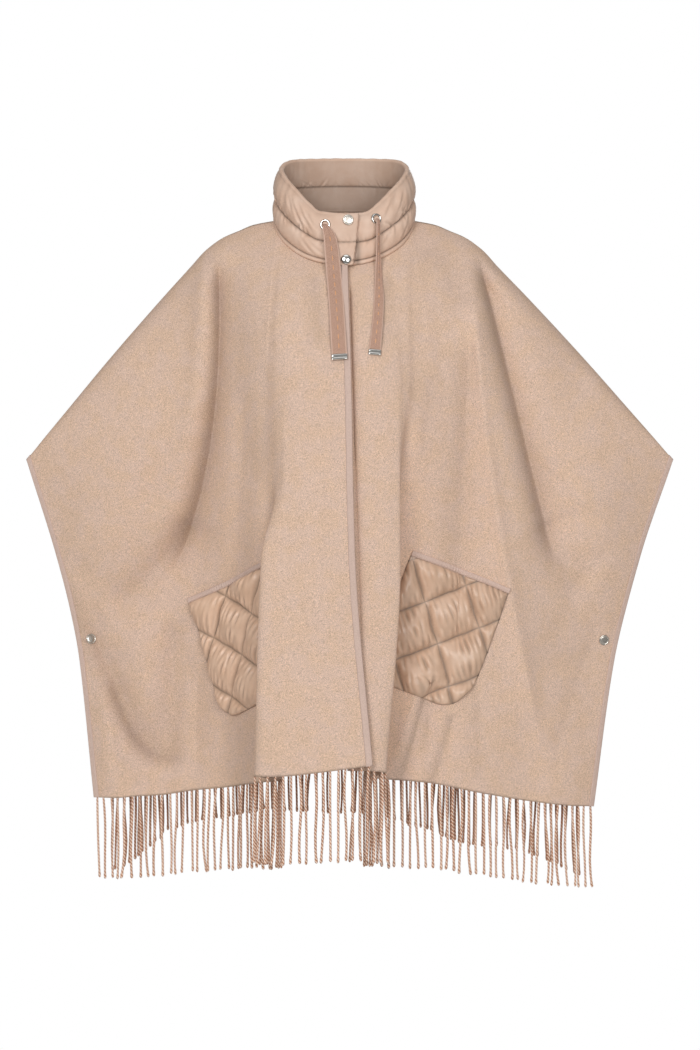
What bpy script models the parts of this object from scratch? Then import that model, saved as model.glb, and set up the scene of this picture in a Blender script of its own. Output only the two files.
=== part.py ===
"""Wool cape with a quilted stand-up collar, two patch pockets and a fringed hem.

The cape is open in front, filled out as if worn, with nobody in it. +X is the wearer's
left, the front faces -Y and +Z is up. The origin is the middle of the neck's base, at
the height of the shoulders. Sizes are in millimetres and become metres in add_mesh.
"""

import math

import bpy
import numpy as np

MM = 0.001

# Cloth
WALL = 2.6  # thickness of the wool
SEAM_GAP = 0.3  # clearance between pieces that are sewn together
RIGHT, LEFT = -1, 1  # the wearer's sides, as signs along X

# Neck seam and collar
NECK_CENTRE_X = -4.0
NECK_HALF_WIDTH = 98.0
NECK_HALF_DEPTH = 76.0
NECK_SIDE_Z, NECK_BACK_RISE, NECK_FRONT_DROP = 15.0, 16.0, 74.5
NECK_TURN = 0.14  # share of the half depth over which the seam turns down at the shoulder
RIM_HALF_WIDTH = 92.0
RIM_HALF_DEPTH = 72.0
# How far back round the rim, from -1 in front to 1 behind, against its height
RIM = {
    "away": (-1.0, -0.94, -0.85, -0.7, -0.5, -0.2, 0.0, 0.3, 0.57, 1.0),
    "z": (13.3, 15.0, 27.6, 46.0, 62.0, 78.0, 85.0, 95.0, 101.5, 107.0),
}
COLLAR_CORE = 2.0  # half thickness of the collar at its quilting seams
COLLAR_PUFF_OUT, COLLAR_PUFF_IN = 6.8, 4.0
COLLAR_FLAT_END, COLLAR_FILL_REACH = 8.0, 26.0  # degrees from each end, flat and then filling out
COLLAR_FLAT_FILL = 0.3  # share of the puff left at the ends
COLLAR_CROWN, COLLAR_CROWN_FILL = 2.0, 3.0  # rounding of the rim, and what the filling adds
COLLAR_CHANNEL = 0.44  # share of the height where the seam between the two channels runs
COLLAR_LAP_START, COLLAR_LAP_END = -11.5, 370.0  # degrees round the neck from the centre front
LAP_LIFT_RIGHT, LAP_LIFT_LEFT = 5.6, -3.8  # how far the lapped ends stand off the ring
LAP_FADE_RIGHT, LAP_FADE_LEFT = (-5.0, 55.0), (305.0, 350.0)  # degrees over which they come back
NECKLINE_DROP = 2.4  # the fronts and the back start this far under the collar

# Body
SHOULDER_SHARE = 0.28  # share of a panel's height that is rounded over the shoulder
LOBE_SHARE = 0.45  # share of the height where the right front's lobe starts to open out
MIDDLE_SHARE = 0.60  # share of the height of the middle section
FRONT_NECK_SLOPE, BACK_NECK_SLOPE = 45.0, 20.0  # degrees, how steeply the cloth leaves the neck
NECK_SLOPE_REACH = 110.0  # along the shoulder, over which the front's slope evens out
NARROW_DEPTH = 60.0  # lines shallower than this at the chest round over the shoulder more squarely
SQUAREST = 0.35  # power of that rounding at the shallowest line
RIDGE_GAP = 0.18  # from the shoulder line to each panel's edge
FOLD_START, FOLD_BLEND = 0.02, 0.08  # share of the height where the soft folds set in
FOLD_EDGE = 0.08  # share of the width over which they die out at a side edge
SIDE_SNAP_Z = -594.0
SIDE_SNAP_PINCH = 4.0  # how far the snap draws each side edge in
SIDE_SNAP_REACH, SIDE_SNAP_SHARE = 45.0, 0.05
SIDE_SNAP_INSET = 17.0  # from the side edge to the middle of the cap, seen from the front
SIDE_SNAP_STAND = 0.95  # clearance under the cap, over the curve of the cloth
CLOTH_WIDTH = 520.0  # of each front, and half that of the back

# The shoulder line: half width of the cape against height, from neck to tip
RIDGE = {
    "half": (98, 131, 153, 174, 198, 222, 265, 343, 417, 467),
    "z": (12.4, 6, -3, -12, -29, -55, -101, -188, -275, -334),
}
RIDGE_SHIFT_START, RIDGE_SHIFT_END = 220.0, 467.0

# Each front has a section table: a row for each line down the cloth, from the centre-front
# edge to the side edge. Every row gives the share of the width, the half width where the line
# leaves the neck or shoulder, then how far out and how deep it lies at the chest, the middle
# and the hem, and the height of the hem. The lobe folds over itself between edge and valley.
SECTION_COLUMNS = (
    "share", "top", "chest_out", "chest_deep", "mid_out", "mid_deep", "hem_out", "hem_deep", "hem_z",
)
FRONT_RIGHT_ROWS = {
    "front edge": (0.000, -4, -6, 150, -11, 172, -35, 186, -763),
    "lobe inner": (0.100, 34, 36, 152, 40, 178, 30, 192, -771),
    "lobe middle": (0.190, 58, 68, 148, 84, 177, 86, 194, -777),
    "lobe outer": (0.250, 72, 84, 143, 110, 172, 117, 190, -778),
    "fold edge": (0.285, 82, 92, 139, 119, 163, 128, 180, -778),
    "fold return": (0.320, 90, 100, 134, 108, 153, 112, 170, -781),
    "fold valley": (0.360, 93, 106, 129, 92, 148, 92, 161, -784),
    "fold hidden": (0.400, 98, 113, 123, 98, 139, 96, 150, -787),
    "flank inner": (0.460, 124, 130, 114, 119, 124, 122, 128, -791),
    "flank middle": (0.550, 158, 162, 94, 166, 72, 170, 72, -802),
    "flank outer": (0.640, 205, 208, 70, 224, 34, 230, 35, -811),
    "wing valley": (0.710, 262, 254, 62, 262, 24, 266, 26, -817),
    "wing inner": (0.800, 320, 303, 56, 302, 24, 300, 24, -819),
    "wing outer": (0.900, 400, 362, 38, 346, 20, 335, 19, -822),
    "side edge": (1.000, 467, 420, 8, 386, 7, 365.4, 7, -822),
}
FRONT_LEFT_ROWS = {
    "front edge": (0.000, -22, -20, 140, -14, 160, 2, 172, -771),
    "lobe inner": (0.060, 8, 10, 142, 16, 163, 24, 175, -771),
    "lobe outer": (0.120, 36, 44, 140, 52, 162, 42, 173, -772),
    "fold edge": (0.165, 60, 72, 134, 74, 152, 54, 163, -775),
    "fold return": (0.205, 76, 79, 129, 66, 136, 42, 147, -779),
    "fold valley": (0.250, 88, 87, 124, 52, 110, 24, 118, -783),
    "fold hidden": (0.290, 93, 95, 118, 60, 97, 31, 103, -786),
    "flank inner": (0.350, 98, 117, 110, 84, 90, 58, 97, -789),
    "flank middle": (0.470, 150, 158, 98, 138, 84, 112, 91, -794),
    "flank outer": (0.600, 205, 206, 82, 202, 74, 190, 77, -810),
    "wing inner": (0.760, 305, 288, 68, 275, 50, 262, 50, -824),
    "wing outer": (0.900, 400, 366, 42, 344, 26, 325, 24, -833),
    "side edge": (1.000, 467, 423, 8, 384, 7, 356, 7, -835),
}
# The right front's places a little above the middle: share, how far out and how deep
LOBE_ROWS = {
    "front edge": (0.000, -8, 163),
    "lobe inner": (0.100, 38, 167),
    "lobe middle": (0.190, 72, 165),
    "lobe outer": (0.250, 87, 160),
    "fold edge": (0.285, 94, 152),
    "fold return": (0.320, 100, 143),
    "fold valley": (0.360, 106, 134.5),
    "fold hidden": (0.400, 113, 125.5),
    "flank inner": (0.460, 126, 113),
    "flank middle": (0.550, 165, 80),
    "flank outer": (0.640, 217, 50),
    "wing valley": (0.710, 259, 41),
    "wing inner": (0.800, 304, 38),
    "wing outer": (0.900, 353, 28),
    "side edge": (1.000, 399, 7.3),
}
# The back's rows run from the wearer's right side edge to the left one; out is along +X
BACK_ROWS = {
    "right edge": (0.000, -467, -420, 8, -386, 7, -365.4, 7, -822),
    "right wing": (0.070, -385, -350, 42, -330, 34, -322, 40, -808),
    "right fold": (0.150, -290, -272, 72, -262, 94, -262, 116, -764),
    "right valley": (0.240, -205, -200, 92, -196, 78, -192, 74, -744),
    "blade fold": (0.330, -98, -126, 116, -126, 132, -122, 152, -734),
    "inner valley": (0.425, -58, -58, 126, -56, 124, -56, 124, -730),
    "centre fold": (0.500, 0, 0, 128, 4, 138, 6, 146, -732),
    "left inner valley": (0.575, 58, 58, 126, 62, 118, 66, 112, -742),
    "left blade fold": (0.670, 98, 126, 114, 126, 128, 124, 144, -764),
    "left valley": (0.760, 205, 198, 94, 190, 84, 184, 76, -783),
    "left fold": (0.850, 290, 272, 70, 258, 84, 250, 102, -792),
    "left wing": (0.930, 385, 352, 42, 332, 38, 318, 42, -813),
    "left edge": (1.000, 467, 423, 8, 384, 7, 356, 7, -835),
}
# Soft folds across the sections: each runs as a curve through three points seen from the
# front (x, z), and stands out (or sinks, if negative) by its depth
FOLD_COLUMNS = ("x0", "z0", "x1", "z1", "x2", "z2", "width", "depth")
FRONT_FOLDS = (
    (-187, -25, -150, -320, -345, -545, 20, -17),  # under the right arm
    (186, -25, 240, -340, 345, -530, 20, -17),  # under the left arm
    (-425, -470, -345, -640, -258, -792, 20, -10),  # from the right side to the hem
    (180, -120, 201, -425, 290, -790, 24, 8),  # down the left wing
)
BACK_FOLDS = (
    (-205, -40, -215, -300, -330, -540, 34, 13),
    (205, -40, 215, -300, 330, -540, 34, 13),
)

# Tape
TAPE = 0.8  # thickness of the binding tape
TAPE_GAP = 0.45  # clearance between the tape and the wool that it wraps
TAPE_WIDTH = 9.0  # on the front edges, measured flat
SIDE_TAPE_WIDTH = 7.0
POCKET_TAPE_WIDTH = 8.0

# Pockets: a quilted square set askew, its mouth falling towards the side
POCKET_HALF_WIDTH, POCKET_HALF_HEIGHT = 81.0, 90.0
POCKET_TILT = 19.5  # degrees
POCKET_CORNER = 40.0
POCKET_PUFF = 9.0
POCKET_BACK = {"right": 3.05, "left": 2.1}  # from the wool's middle to the pocket's inner side
POCKET_RIM = 2.0
POCKET_HIDDEN = 24.0  # most that a pocket reaches into the fold
POCKET_SIDE_RISE, POCKET_END_RISE = 25.0, 26.0  # over which the filling rises from each edge
POCKET_TAPE_HEIGHT = 4.4
QUILT_PITCH = 64.5
QUILT_TURN = 40.5  # degrees from the mouth to the rising stitch lines
QUILT_CENTRE = (7.0, 13.0)
POCKET_PLACES = {"right": (0.46, 40.0, -598.0), "left": (0.35, 54.0, -583.0)}

# Hardware
SNAP_RADIUS, SNAP_HEIGHT = 7.6, 3.4
EYELET_RADIUS, EYELET_HOLE, EYELET_HEIGHT = 8.0, 4.2, 2.2
COLLAR_SNAPS = {"top": (-3.0, 0.90), "base": (-1.4, 0.08)}  # degrees round the neck, height share
EYELETS = {"right": (15.4, 0.785), "left": (331.4, 0.805)}
SNAP_STAND, EYELET_STAND = 0.3, 0.3  # clearance over the collar's puffed outer side
CORD_THICKNESS = 1.6
CORD_TURN = {"right": 0.25, "left": 0.9}  # radians that the tape is twisted by at its eyelet
CORD_TIP_HEIGHT, CORD_TIP_THICKNESS, CORD_TIP_BEVEL = 8.0, 3.0, 0.8
CORD_TIP_MARGIN = 0.4
# Drawcord routes from the eyelet down: x, y, z and the width of the tape there
CORD_ROUTES = {
    "right": (
        (-33.3, -83.4, -1.0, 6.5), (-33.2, -88.6, -3.0, 7.0), (-32.4, -90.0, -12.0, 8.0),
        (-30.5, -89.4, -26.0, 11.0), (-28.0, -89.4, -44.0, 16.0), (-26.0, -92.4, -62.0, 19.0),
        (-23.5, -102.5, -80.0, 21.0), (-21.0, -115.0, -100.0, 22.0), (-17.5, -130.0, -130.0, 22.0),
        (-13.0, -143.0, -164.0, 22.0), (-10.5, -149.0, -188.0, 22.0),
    ),
    "left": (
        (44.4, -71.9, 8.0, 6.0), (44.4, -77.2, 6.0, 6.5), (44.6, -79.2, -3.0, 7.0),
        (44.6, -79.0, -18.0, 7.5), (44.6, -79.4, -38.0, 8.0), (45.0, -83.5, -62.0, 10.0),
        (45.3, -95.0, -82.0, 12.0), (45.4, -106.5, -102.0, 14.0), (44.4, -119.0, -128.0, 15.0),
        (41.5, -131.6, -160.0, 16.0), (39.5, -137.4, -181.0, 17.0),
    ),
}

# Fringe
STRAND_PITCH = 10.6
STRAND_WIDTH, STRAND_DEPTH = 5.0, 4.4
STRIP_HEIGHT = 3.6
STRIP_GAP = 1.3
STRAND_LENGTH_SIDE, STRAND_LENGTH_CENTRE = 120.0, 131.0
STRAND_CENTRE_REACH = 200.0  # half width over which the strands are longer towards the middle
STRAND_TAPER = 0.72

# Mesh steps
SHOULDER_STEPS, FALL_STEPS = 6, 9
COLLAR_STEPS = 40
CORD_STEPS = 17
POCKET_COLUMNS, POCKET_STRAIGHT_ROWS, POCKET_CORNER_ROWS = 19, 11, 6
ROUND_SIDES = 16

COLOURS = {
    # name: base colour (linear), roughness, metallic
    "wool": ((0.62, 0.47, 0.36), 0.95, 0.0),
    "nylon": ((0.56, 0.42, 0.32), 0.45, 0.0),
    "tape": ((0.52, 0.38, 0.33), 0.8, 0.0),
    "cord": ((0.42, 0.29, 0.22), 0.85, 0.0),
    "fringe": ((0.58, 0.40, 0.29), 0.95, 0.0),
    "steel": ((0.75, 0.74, 0.72), 0.25, 1.0),
}


def smooth_step(value):
    value = np.clip(value, 0.0, 1.0)
    return value * value * (3.0 - 2.0 * value)


def monotone(knots, values, wanted):
    """A smooth curve through values at knots that never overshoots them (Fritsch-Carlson)."""
    knots = np.asarray(knots, float)
    values = np.asarray(values, float)
    step = np.diff(knots)
    slope = np.diff(values, axis=0) / step.reshape(-1, *[1] * (values.ndim - 1))
    tangent = np.zeros_like(values)
    tangent[0], tangent[-1] = slope[0], slope[-1]
    same_way = slope[1:] * slope[:-1] > 0
    both = np.where(same_way, slope[1:] + slope[:-1], 1.0)
    tangent[1:-1] = np.where(same_way, 2.0 * slope[1:] * slope[:-1] / both, 0.0)
    index = np.clip(np.searchsorted(knots, wanted, side="right") - 1, 0, len(step) - 1)
    width = step[index]
    along = (wanted - knots[index]) / width
    shape = (-1, *[1] * (values.ndim - 1))
    along, width = along.reshape(shape), width.reshape(shape)
    start = (1 + 2 * along) * (1 - along) ** 2 * values[index]
    end = along**2 * (3 - 2 * along) * values[index + 1]
    leave = along * (1 - along) ** 2 * width * tangent[index]
    arrive = along**2 * (along - 1) * width * tangent[index + 1]
    return start + end + leave + arrive


def ring(turn, lift=0.0, rim=False):
    """Point on the neck seam, or on the rim, at an angle from the centre front, clockwise from above."""
    half_width = RIM_HALF_WIDTH if rim else NECK_HALF_WIDTH
    half_depth = RIM_HALF_DEPTH if rim else NECK_HALF_DEPTH
    away = -np.cos(turn)
    x = NECK_CENTRE_X - (half_width + lift) * np.sin(turn)
    y = (half_depth + lift) * away
    if rim:
        z = monotone(RIM["away"], RIM["z"], np.ravel(away)).reshape(np.shape(away))
    else:
        even = (NECK_BACK_RISE + NECK_FRONT_DROP) / 2
        bend = (NECK_BACK_RISE - NECK_FRONT_DROP) / 2
        z = NECK_SIDE_Z + even * away + bend * (np.hypot(away, NECK_TURN) - NECK_TURN)
    return np.stack([x, y, z], axis=-1)


def lap_lift(turn):
    """The lapped ends of the collar and the fronts stand off the neck seam, one over the other."""
    degrees = np.degrees(turn)
    start, end = LAP_FADE_RIGHT
    over = LAP_LIFT_RIGHT * (1 - smooth_step((degrees - start) / (end - start)))
    start, end = LAP_FADE_LEFT
    under = LAP_LIFT_LEFT * smooth_step((degrees - start) / (end - start))
    return over + under


def top_edge(half, side, facing):
    """Where a line down the cloth starts: on the neck seam, then along the shoulder line."""
    half = np.asarray(half, float)
    on_ring = np.abs(half) < NECK_HALF_WIDTH
    turn = np.arcsin(np.clip(half / NECK_HALF_WIDTH, -1.0, 1.0))
    if facing > 0:
        turn = math.pi - turn
    if side == LEFT:
        turn = 2 * math.pi - turn
    neck = ring(turn, lap_lift(turn) if facing < 0 else 0.0)
    neck[..., 2] -= NECKLINE_DROP
    shift = NECK_CENTRE_X * (
        1 - 2 * np.clip((half - RIDGE_SHIFT_START) / (RIDGE_SHIFT_END - RIDGE_SHIFT_START), 0, 1)
    )
    ridge = np.stack(
        [
            side * half + shift,
            np.full(half.shape, facing * RIDGE_GAP),
            monotone(RIDGE["half"], RIDGE["z"], half),
        ],
        axis=-1,
    )
    return np.where(on_ring[..., None], neck, ridge)


def fold_offsets(x, z, folds):
    """Depth that the soft folds add at points seen from the front."""
    total = np.zeros_like(x)
    along = np.linspace(0.0, 1.0, 49)
    for fold in folds:
        row = dict(zip(FOLD_COLUMNS, fold))
        start, bend, end = (1 - along) ** 2, 2 * along * (1 - along), along**2
        curve_x = start * row["x0"] + bend * row["x1"] + end * row["x2"]
        curve_z = start * row["z0"] + bend * row["z1"] + end * row["z2"]
        apart = np.hypot(x[..., None] - curve_x, z[..., None] - curve_z)
        nearest = along[apart.argmin(axis=-1)]
        fade = smooth_step(nearest / 0.12) * smooth_step((1 - nearest) / 0.22)
        width = row["width"] * (0.75 + 0.6 * nearest)  # a fold widens on its way down
        total += row["depth"] * fade * np.exp(-((apart.min(axis=-1) / width) ** 2))
    return total


def panel_points(rows, shares, heights, facing, side=None):
    """The middle surface of a panel on a grid: shares across it by heights down it.

    Above the chest each line is a quarter turn of an ellipse off the shoulder; below, it runs
    smoothly through the chest, middle and hem sections of its row.
    """
    table = np.array(list(rows.values()), float)
    columns = dict(
        zip(SECTION_COLUMNS, monotone(table[:, 0], table, np.asarray(shares, float)).T)
    )
    if side is None:
        sides = np.where(columns["top"] < 0, RIGHT, LEFT)
        right = top_edge(-columns["top"], RIGHT, facing)
        left = top_edge(columns["top"], LEFT, facing)
        top = np.where((sides == RIGHT)[:, None], right, left)
        out_sign = 1
    else:
        top = top_edge(columns["top"], side, facing)
        out_sign = side
    half = np.abs(columns["top"])
    if facing < 0:
        even_out = 1 - smooth_step((half - NECK_HALF_WIDTH) / NECK_SLOPE_REACH)
        start_angle = math.radians(FRONT_NECK_SLOPE) * even_out
    else:
        inside_ring = np.clip(1 - (half / NECK_HALF_WIDTH) ** 2, 0, 1)
        start_angle = math.radians(BACK_NECK_SLOPE) * np.sqrt(inside_ring)

    heights = np.asarray(heights, float)[:, None]
    over = heights < SHOULDER_SHARE
    angle = start_angle + (math.pi / 2 - start_angle) * np.minimum(heights / SHOULDER_SHARE, 1)
    drop = (np.cos(start_angle) - np.cos(angle)) / np.cos(start_angle)
    swing = (np.sin(angle) - np.sin(start_angle)) / (1 - np.sin(start_angle))
    swing = swing ** np.clip(columns["chest_deep"] / NARROW_DEPTH, SQUAREST, 1.0)
    fall = np.where(over, SHOULDER_SHARE * drop, heights)

    stations = (0.0, SHOULDER_SHARE, MIDDLE_SHARE, 1.0)
    outs = np.stack(
        [top[:, 0]] + [out_sign * columns[key] for key in ("chest_out", "mid_out", "hem_out")]
    )
    deeps = np.stack([columns[key] for key in ("chest_deep", "mid_deep", "hem_deep")])
    if side == RIGHT:
        lobe = np.array(list(LOBE_ROWS.values()), float)
        low_out, low_deep = monotone(lobe[:, 0], lobe[:, 1:], columns["share"]).T
        stations = (0.0, SHOULDER_SHARE, LOBE_SHARE, MIDDLE_SHARE, 1.0)
        outs = np.insert(outs, 2, out_sign * low_out, axis=0)
        deeps = np.insert(deeps, 1, low_deep, axis=0)
    line = np.arange(outs.shape[1])
    x = np.stack([monotone(stations, outs[:, i], fall[:, i]) for i in line], axis=1)
    below = np.stack(
        [monotone(stations[1:], deeps[:, i], np.maximum(fall[:, i], SHOULDER_SHARE)) for i in line],
        axis=1,
    )
    start_deep = facing * top[:, 1]
    deep = np.where(over, start_deep + (columns["chest_deep"] - start_deep) * swing, below)
    z = top[:, 2] + (columns["hem_z"] - top[:, 2]) * fall

    folds = FRONT_FOLDS if facing < 0 else BACK_FOLDS
    settle = smooth_step((fall - FOLD_START) / FOLD_BLEND)
    edge = np.minimum(columns["share"], 1 - columns["share"]) if side is None else 1 - columns["share"]
    deep = deep + settle * smooth_step(edge / FOLD_EDGE) * fold_offsets(x, z, folds)
    level = ((z - SIDE_SNAP_Z) / SIDE_SNAP_REACH) ** 2
    deep = deep - SIDE_SNAP_PINCH * np.exp(-level - (edge / SIDE_SNAP_SHARE) ** 2)
    return np.stack([x, facing * deep, z], axis=-1)


def grid_normals(points, facing):
    """Unit normals of a grid of points, turned to the panel's outer side."""
    across = np.gradient(points, axis=1)
    down = np.gradient(points, axis=0)
    normal = np.cross(across, down)
    normal /= np.linalg.norm(normal, axis=-1, keepdims=True)
    middle = normal[len(normal) // 2, :, 1].mean()
    return normal if middle * facing > 0 else -normal


def panel_normals(points, facing):
    normal = grid_normals(points, facing)
    on_ridge = np.abs(points[0, :, 1]) < 1.0
    normal[0, on_ridge, 1] = 0.0
    normal[0] /= np.linalg.norm(normal[0], axis=-1, keepdims=True)
    return normal


def add_material(name):
    material = bpy.data.materials.get(name)
    if material:
        return material
    colour, roughness, metallic = COLOURS[name]
    material = bpy.data.materials.new(name)
    material.use_nodes = True
    shader = material.node_tree.nodes["Principled BSDF"]
    shader.inputs["Base Color"].default_value = (*colour, 1.0)
    shader.inputs["Roughness"].default_value = roughness
    shader.inputs["Metallic"].default_value = metallic
    material.diffuse_color = (*colour, 1.0)
    return material


def signed_volume(points, faces):
    total = 0.0
    for face in faces:
        for i in range(1, len(face) - 1):
            total += np.dot(points[face[0]], np.cross(points[face[i]], points[face[i + 1]]))
    return total


def add_mesh(name, points, faces, material):
    """A closed mesh from points in millimetres, its faces turned outwards."""
    points = np.asarray(points, float).reshape(-1, 3)
    if signed_volume(points, faces) < 0:
        faces = [tuple(reversed(face)) for face in faces]
    mesh = bpy.data.meshes.new(name)
    mesh.from_pydata((points * MM).tolist(), [], [tuple(map(int, face)) for face in faces])
    mesh.update()
    mesh.shade_smooth()
    mesh.set_sharp_from_angle(angle=math.radians(40))
    mesh.materials.append(add_material(material))
    obj = bpy.data.objects.new(name, mesh)
    bpy.context.scene.collection.objects.link(obj)
    return obj


def split(a, b, c, d):
    """A four-sided face as two triangles that meet on the line from a to c."""
    return [(a, b, c), (a, c, d)]


def wall_faces(rows, columns):
    """Faces of a thin wall whose outer grid comes first and whose inner grid follows it."""
    count = rows * columns
    faces = []
    for i in range(rows - 1):
        for j in range(columns - 1):
            a, b = i * columns + j, (i + 1) * columns + j
            faces += split(a, a + 1, b + 1, b)
            faces += split(count + a, count + b, count + b + 1, count + a + 1)
    rim = list(range(columns))
    rim += [i * columns + columns - 1 for i in range(1, rows)]
    rim += [(rows - 1) * columns + j for j in range(columns - 2, -1, -1)]
    rim += [i * columns for i in range(rows - 2, 0, -1)]
    for a, b in zip(rim, rim[1:] + rim[:1]):
        faces.append((b, a, count + a, count + b))
    return faces


def tube_faces(sections, corners, turned_over=()):
    """Faces of a closed tube: sections of corners each, capped at both ends.

    Each side is split from its own corner to the following section's next corner, or the other
    way on the sides that are turned over.
    """
    faces = [tuple(range(corners)), tuple((sections - 1) * corners + c for c in range(corners))[::-1]]
    for i in range(sections - 1):
        for c in range(corners):
            n = (c + 1) % corners
            near, far = i * corners, (i + 1) * corners
            if c in turned_over:
                faces += split(near + n, near + c, far + c, far + n)
            else:
                faces += split(near + c, far + c, far + n, near + n)
    return faces


def add_wall(name, outer, inner, material):
    rows, columns = outer.shape[:2]
    points = np.concatenate([outer.reshape(-1, 3), inner.reshape(-1, 3)])
    return add_mesh(name, points, wall_faces(rows, columns), material)


def height_steps():
    over = SHOULDER_SHARE * np.linspace(0, 1, SHOULDER_STEPS + 1)
    return np.concatenate([over, np.linspace(SHOULDER_SHARE, 1, FALL_STEPS + 1)[1:]])


def share_steps(rows, extra, edges):
    """The table's own lines, one between each wide pair, and one a tape's width from each bound edge."""
    shares = [row[0] for row in rows.values()]
    shares += [(a + b) / 2 for a, b in zip(shares, shares[1:]) if b - a > extra]
    shares = [s for s in shares if all(s in (0.0, 1.0) or abs(s - e) > 1e-3 for e in edges)]
    return np.array(sorted(set(shares) | set(edges)))


def make_panel(name, rows, facing, side, shares):
    points = panel_points(rows, shares, height_steps(), facing, side)
    normal = panel_normals(points, facing)
    half = WALL / 2
    add_wall(name, points + half * normal, points - half * normal, "wool")
    return points, normal


def make_edge_binding(name, points, normal, first):
    """Tape folded over a panel's edge: from its last column in to the next one."""
    edge, inner = (0, 1) if first else (-1, -2)
    along = points[:, inner] - points[:, edge]
    inward = along / np.linalg.norm(along, axis=-1, keepdims=True)
    slot = WALL / 2 + TAPE_GAP
    outer = slot + TAPE
    corners = []
    for side, reach in ((1, outer), (-1, outer), (-1, slot), (1, slot)):
        beyond = TAPE_GAP + (TAPE if reach == outer else 0.0)
        out = points[:, edge] - beyond * inward + side * reach * normal[:, edge]
        end = points[:, inner] + side * reach * normal[:, inner]
        corners.append((out, end))
    loop = [
        corners[0][1], corners[0][0], corners[1][0], corners[1][1],
        corners[2][1], corners[2][0], corners[3][0], corners[3][1],
    ]
    sections = np.stack(loop, axis=1)
    turned_over = (0, 4) if first else (2, 6)
    add_mesh(name, sections, tube_faces(len(points), 8, turned_over), "tape")


def collar_profile():
    """Height share and stand-off round the collar's section: outer side up, then inner side down."""
    lower = np.linspace(0, COLLAR_CHANNEL, 5)
    upper = np.linspace(COLLAR_CHANNEL, 1, 6)[1:]
    height = np.concatenate([lower, upper])
    below = height / COLLAR_CHANNEL
    above = (height - COLLAR_CHANNEL) / (1 - COLLAR_CHANNEL)
    bulge = np.where(height < COLLAR_CHANNEL, np.sin(math.pi * below), np.sin(math.pi * above * 0.86))
    return height, np.clip(bulge, 0, 1) ** 0.6


def collar_section(turn):
    height, bulge = collar_profile()
    degrees = math.degrees(turn)
    near_end = min(degrees - COLLAR_LAP_START, COLLAR_LAP_END - degrees)
    filled = float(smooth_step((near_end - COLLAR_FLAT_END) / COLLAR_FILL_REACH))
    fill = COLLAR_FLAT_FILL + (1 - COLLAR_FLAT_FILL) * filled
    lift = float(lap_lift(np.array(turn)))
    base, rim = ring(np.array(turn), lift), ring(np.array(turn), lift, rim=True)
    centre = base + (rim - base) * height[:, None]
    outward = np.array([-math.sin(turn) * NECK_HALF_DEPTH, -math.cos(turn) * NECK_HALF_WIDTH, 0.0])
    outward /= np.linalg.norm(outward)
    outer = centre + outward * (COLLAR_CORE + fill * COLLAR_PUFF_OUT * bulge)[:, None]
    inner = centre - outward * (COLLAR_CORE + fill * COLLAR_PUFF_IN * bulge)[:, None]
    lean = fill * (COLLAR_PUFF_OUT - COLLAR_PUFF_IN) / 2
    crown = centre[-1] + lean * outward + np.array([0, 0, COLLAR_CROWN + COLLAR_CROWN_FILL * fill])
    return np.concatenate([outer, crown[None], inner[::-1]])


def collar_front(turn, height):
    """Point on the collar's outer side at a share of its height, with its outward direction."""
    section = collar_section(turn)
    heights, _ = collar_profile()
    outer = section[: len(heights)]
    point = np.array([np.interp(height, heights, outer[:, k]) for k in range(3)])
    outward = np.array([-math.sin(turn) * NECK_HALF_DEPTH, -math.cos(turn) * NECK_HALF_WIDTH, 0.0])
    rise = outer[-1] - outer[0]
    outward -= rise * np.dot(outward, rise) / np.dot(rise, rise)
    return point, outward / np.linalg.norm(outward)


def make_collar():
    turns = np.radians(np.linspace(COLLAR_LAP_START, COLLAR_LAP_END, COLLAR_STEPS))
    sections = np.stack([collar_section(turn) for turn in turns])
    add_mesh("collar", sections, tube_faces(COLLAR_STEPS, sections.shape[1]), "nylon")


def pocket_rows():
    """Rows down the pocket, with the half width of each: straight, then round corners."""
    bottom = POCKET_HALF_HEIGHT - POCKET_CORNER
    straight = np.linspace(-POCKET_HALF_HEIGHT, bottom, POCKET_STRAIGHT_ROWS)
    bend = np.linspace(0, math.pi / 2, POCKET_CORNER_ROWS)[1:]
    down = np.concatenate([straight, bottom + POCKET_CORNER * np.sin(bend)])
    half = np.full(len(down), POCKET_HALF_WIDTH)
    half[POCKET_STRAIGHT_ROWS:] -= POCKET_CORNER * (1 - np.cos(bend))
    return down, half


def on_panel(rows, side, start, across, down):
    """Points and normals of a front at flat distances from a line down it and at given heights."""
    shares = np.linspace(start - 0.05, 1.0, 120)
    heights = np.linspace(SHOULDER_SHARE, 1.0, 90)
    grid = panel_points(rows, shares, heights, -1, side)
    normal = grid_normals(grid, -1)
    steps = np.linalg.norm(np.diff(grid, axis=1), axis=-1)
    run = np.concatenate([np.zeros((len(heights), 1)), np.cumsum(steps, axis=1)], axis=1)
    begin = np.array([np.interp(start, shares, row) for row in run])
    run -= begin[:, None]
    points = np.zeros((*across.shape, 3))
    outward = np.zeros_like(points)
    for index in np.ndindex(across.shape):
        column = np.array([np.interp(across[index], run[k], grid[k, :, 2]) for k in range(len(heights))])
        height = np.interp(-down[index], -column, np.arange(len(heights)))
        k = min(int(height), len(heights) - 2)
        part = height - k
        for source, target in ((grid, points), (normal, outward)):
            above = [np.interp(across[index], run[k], source[k, :, a]) for a in range(3)]
            under = [np.interp(across[index], run[k + 1], source[k + 1, :, a]) for a in range(3)]
            target[index] = (1 - part) * np.array(above) + part * np.array(under)
    outward /= np.linalg.norm(outward, axis=-1, keepdims=True)
    return points, outward


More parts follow.
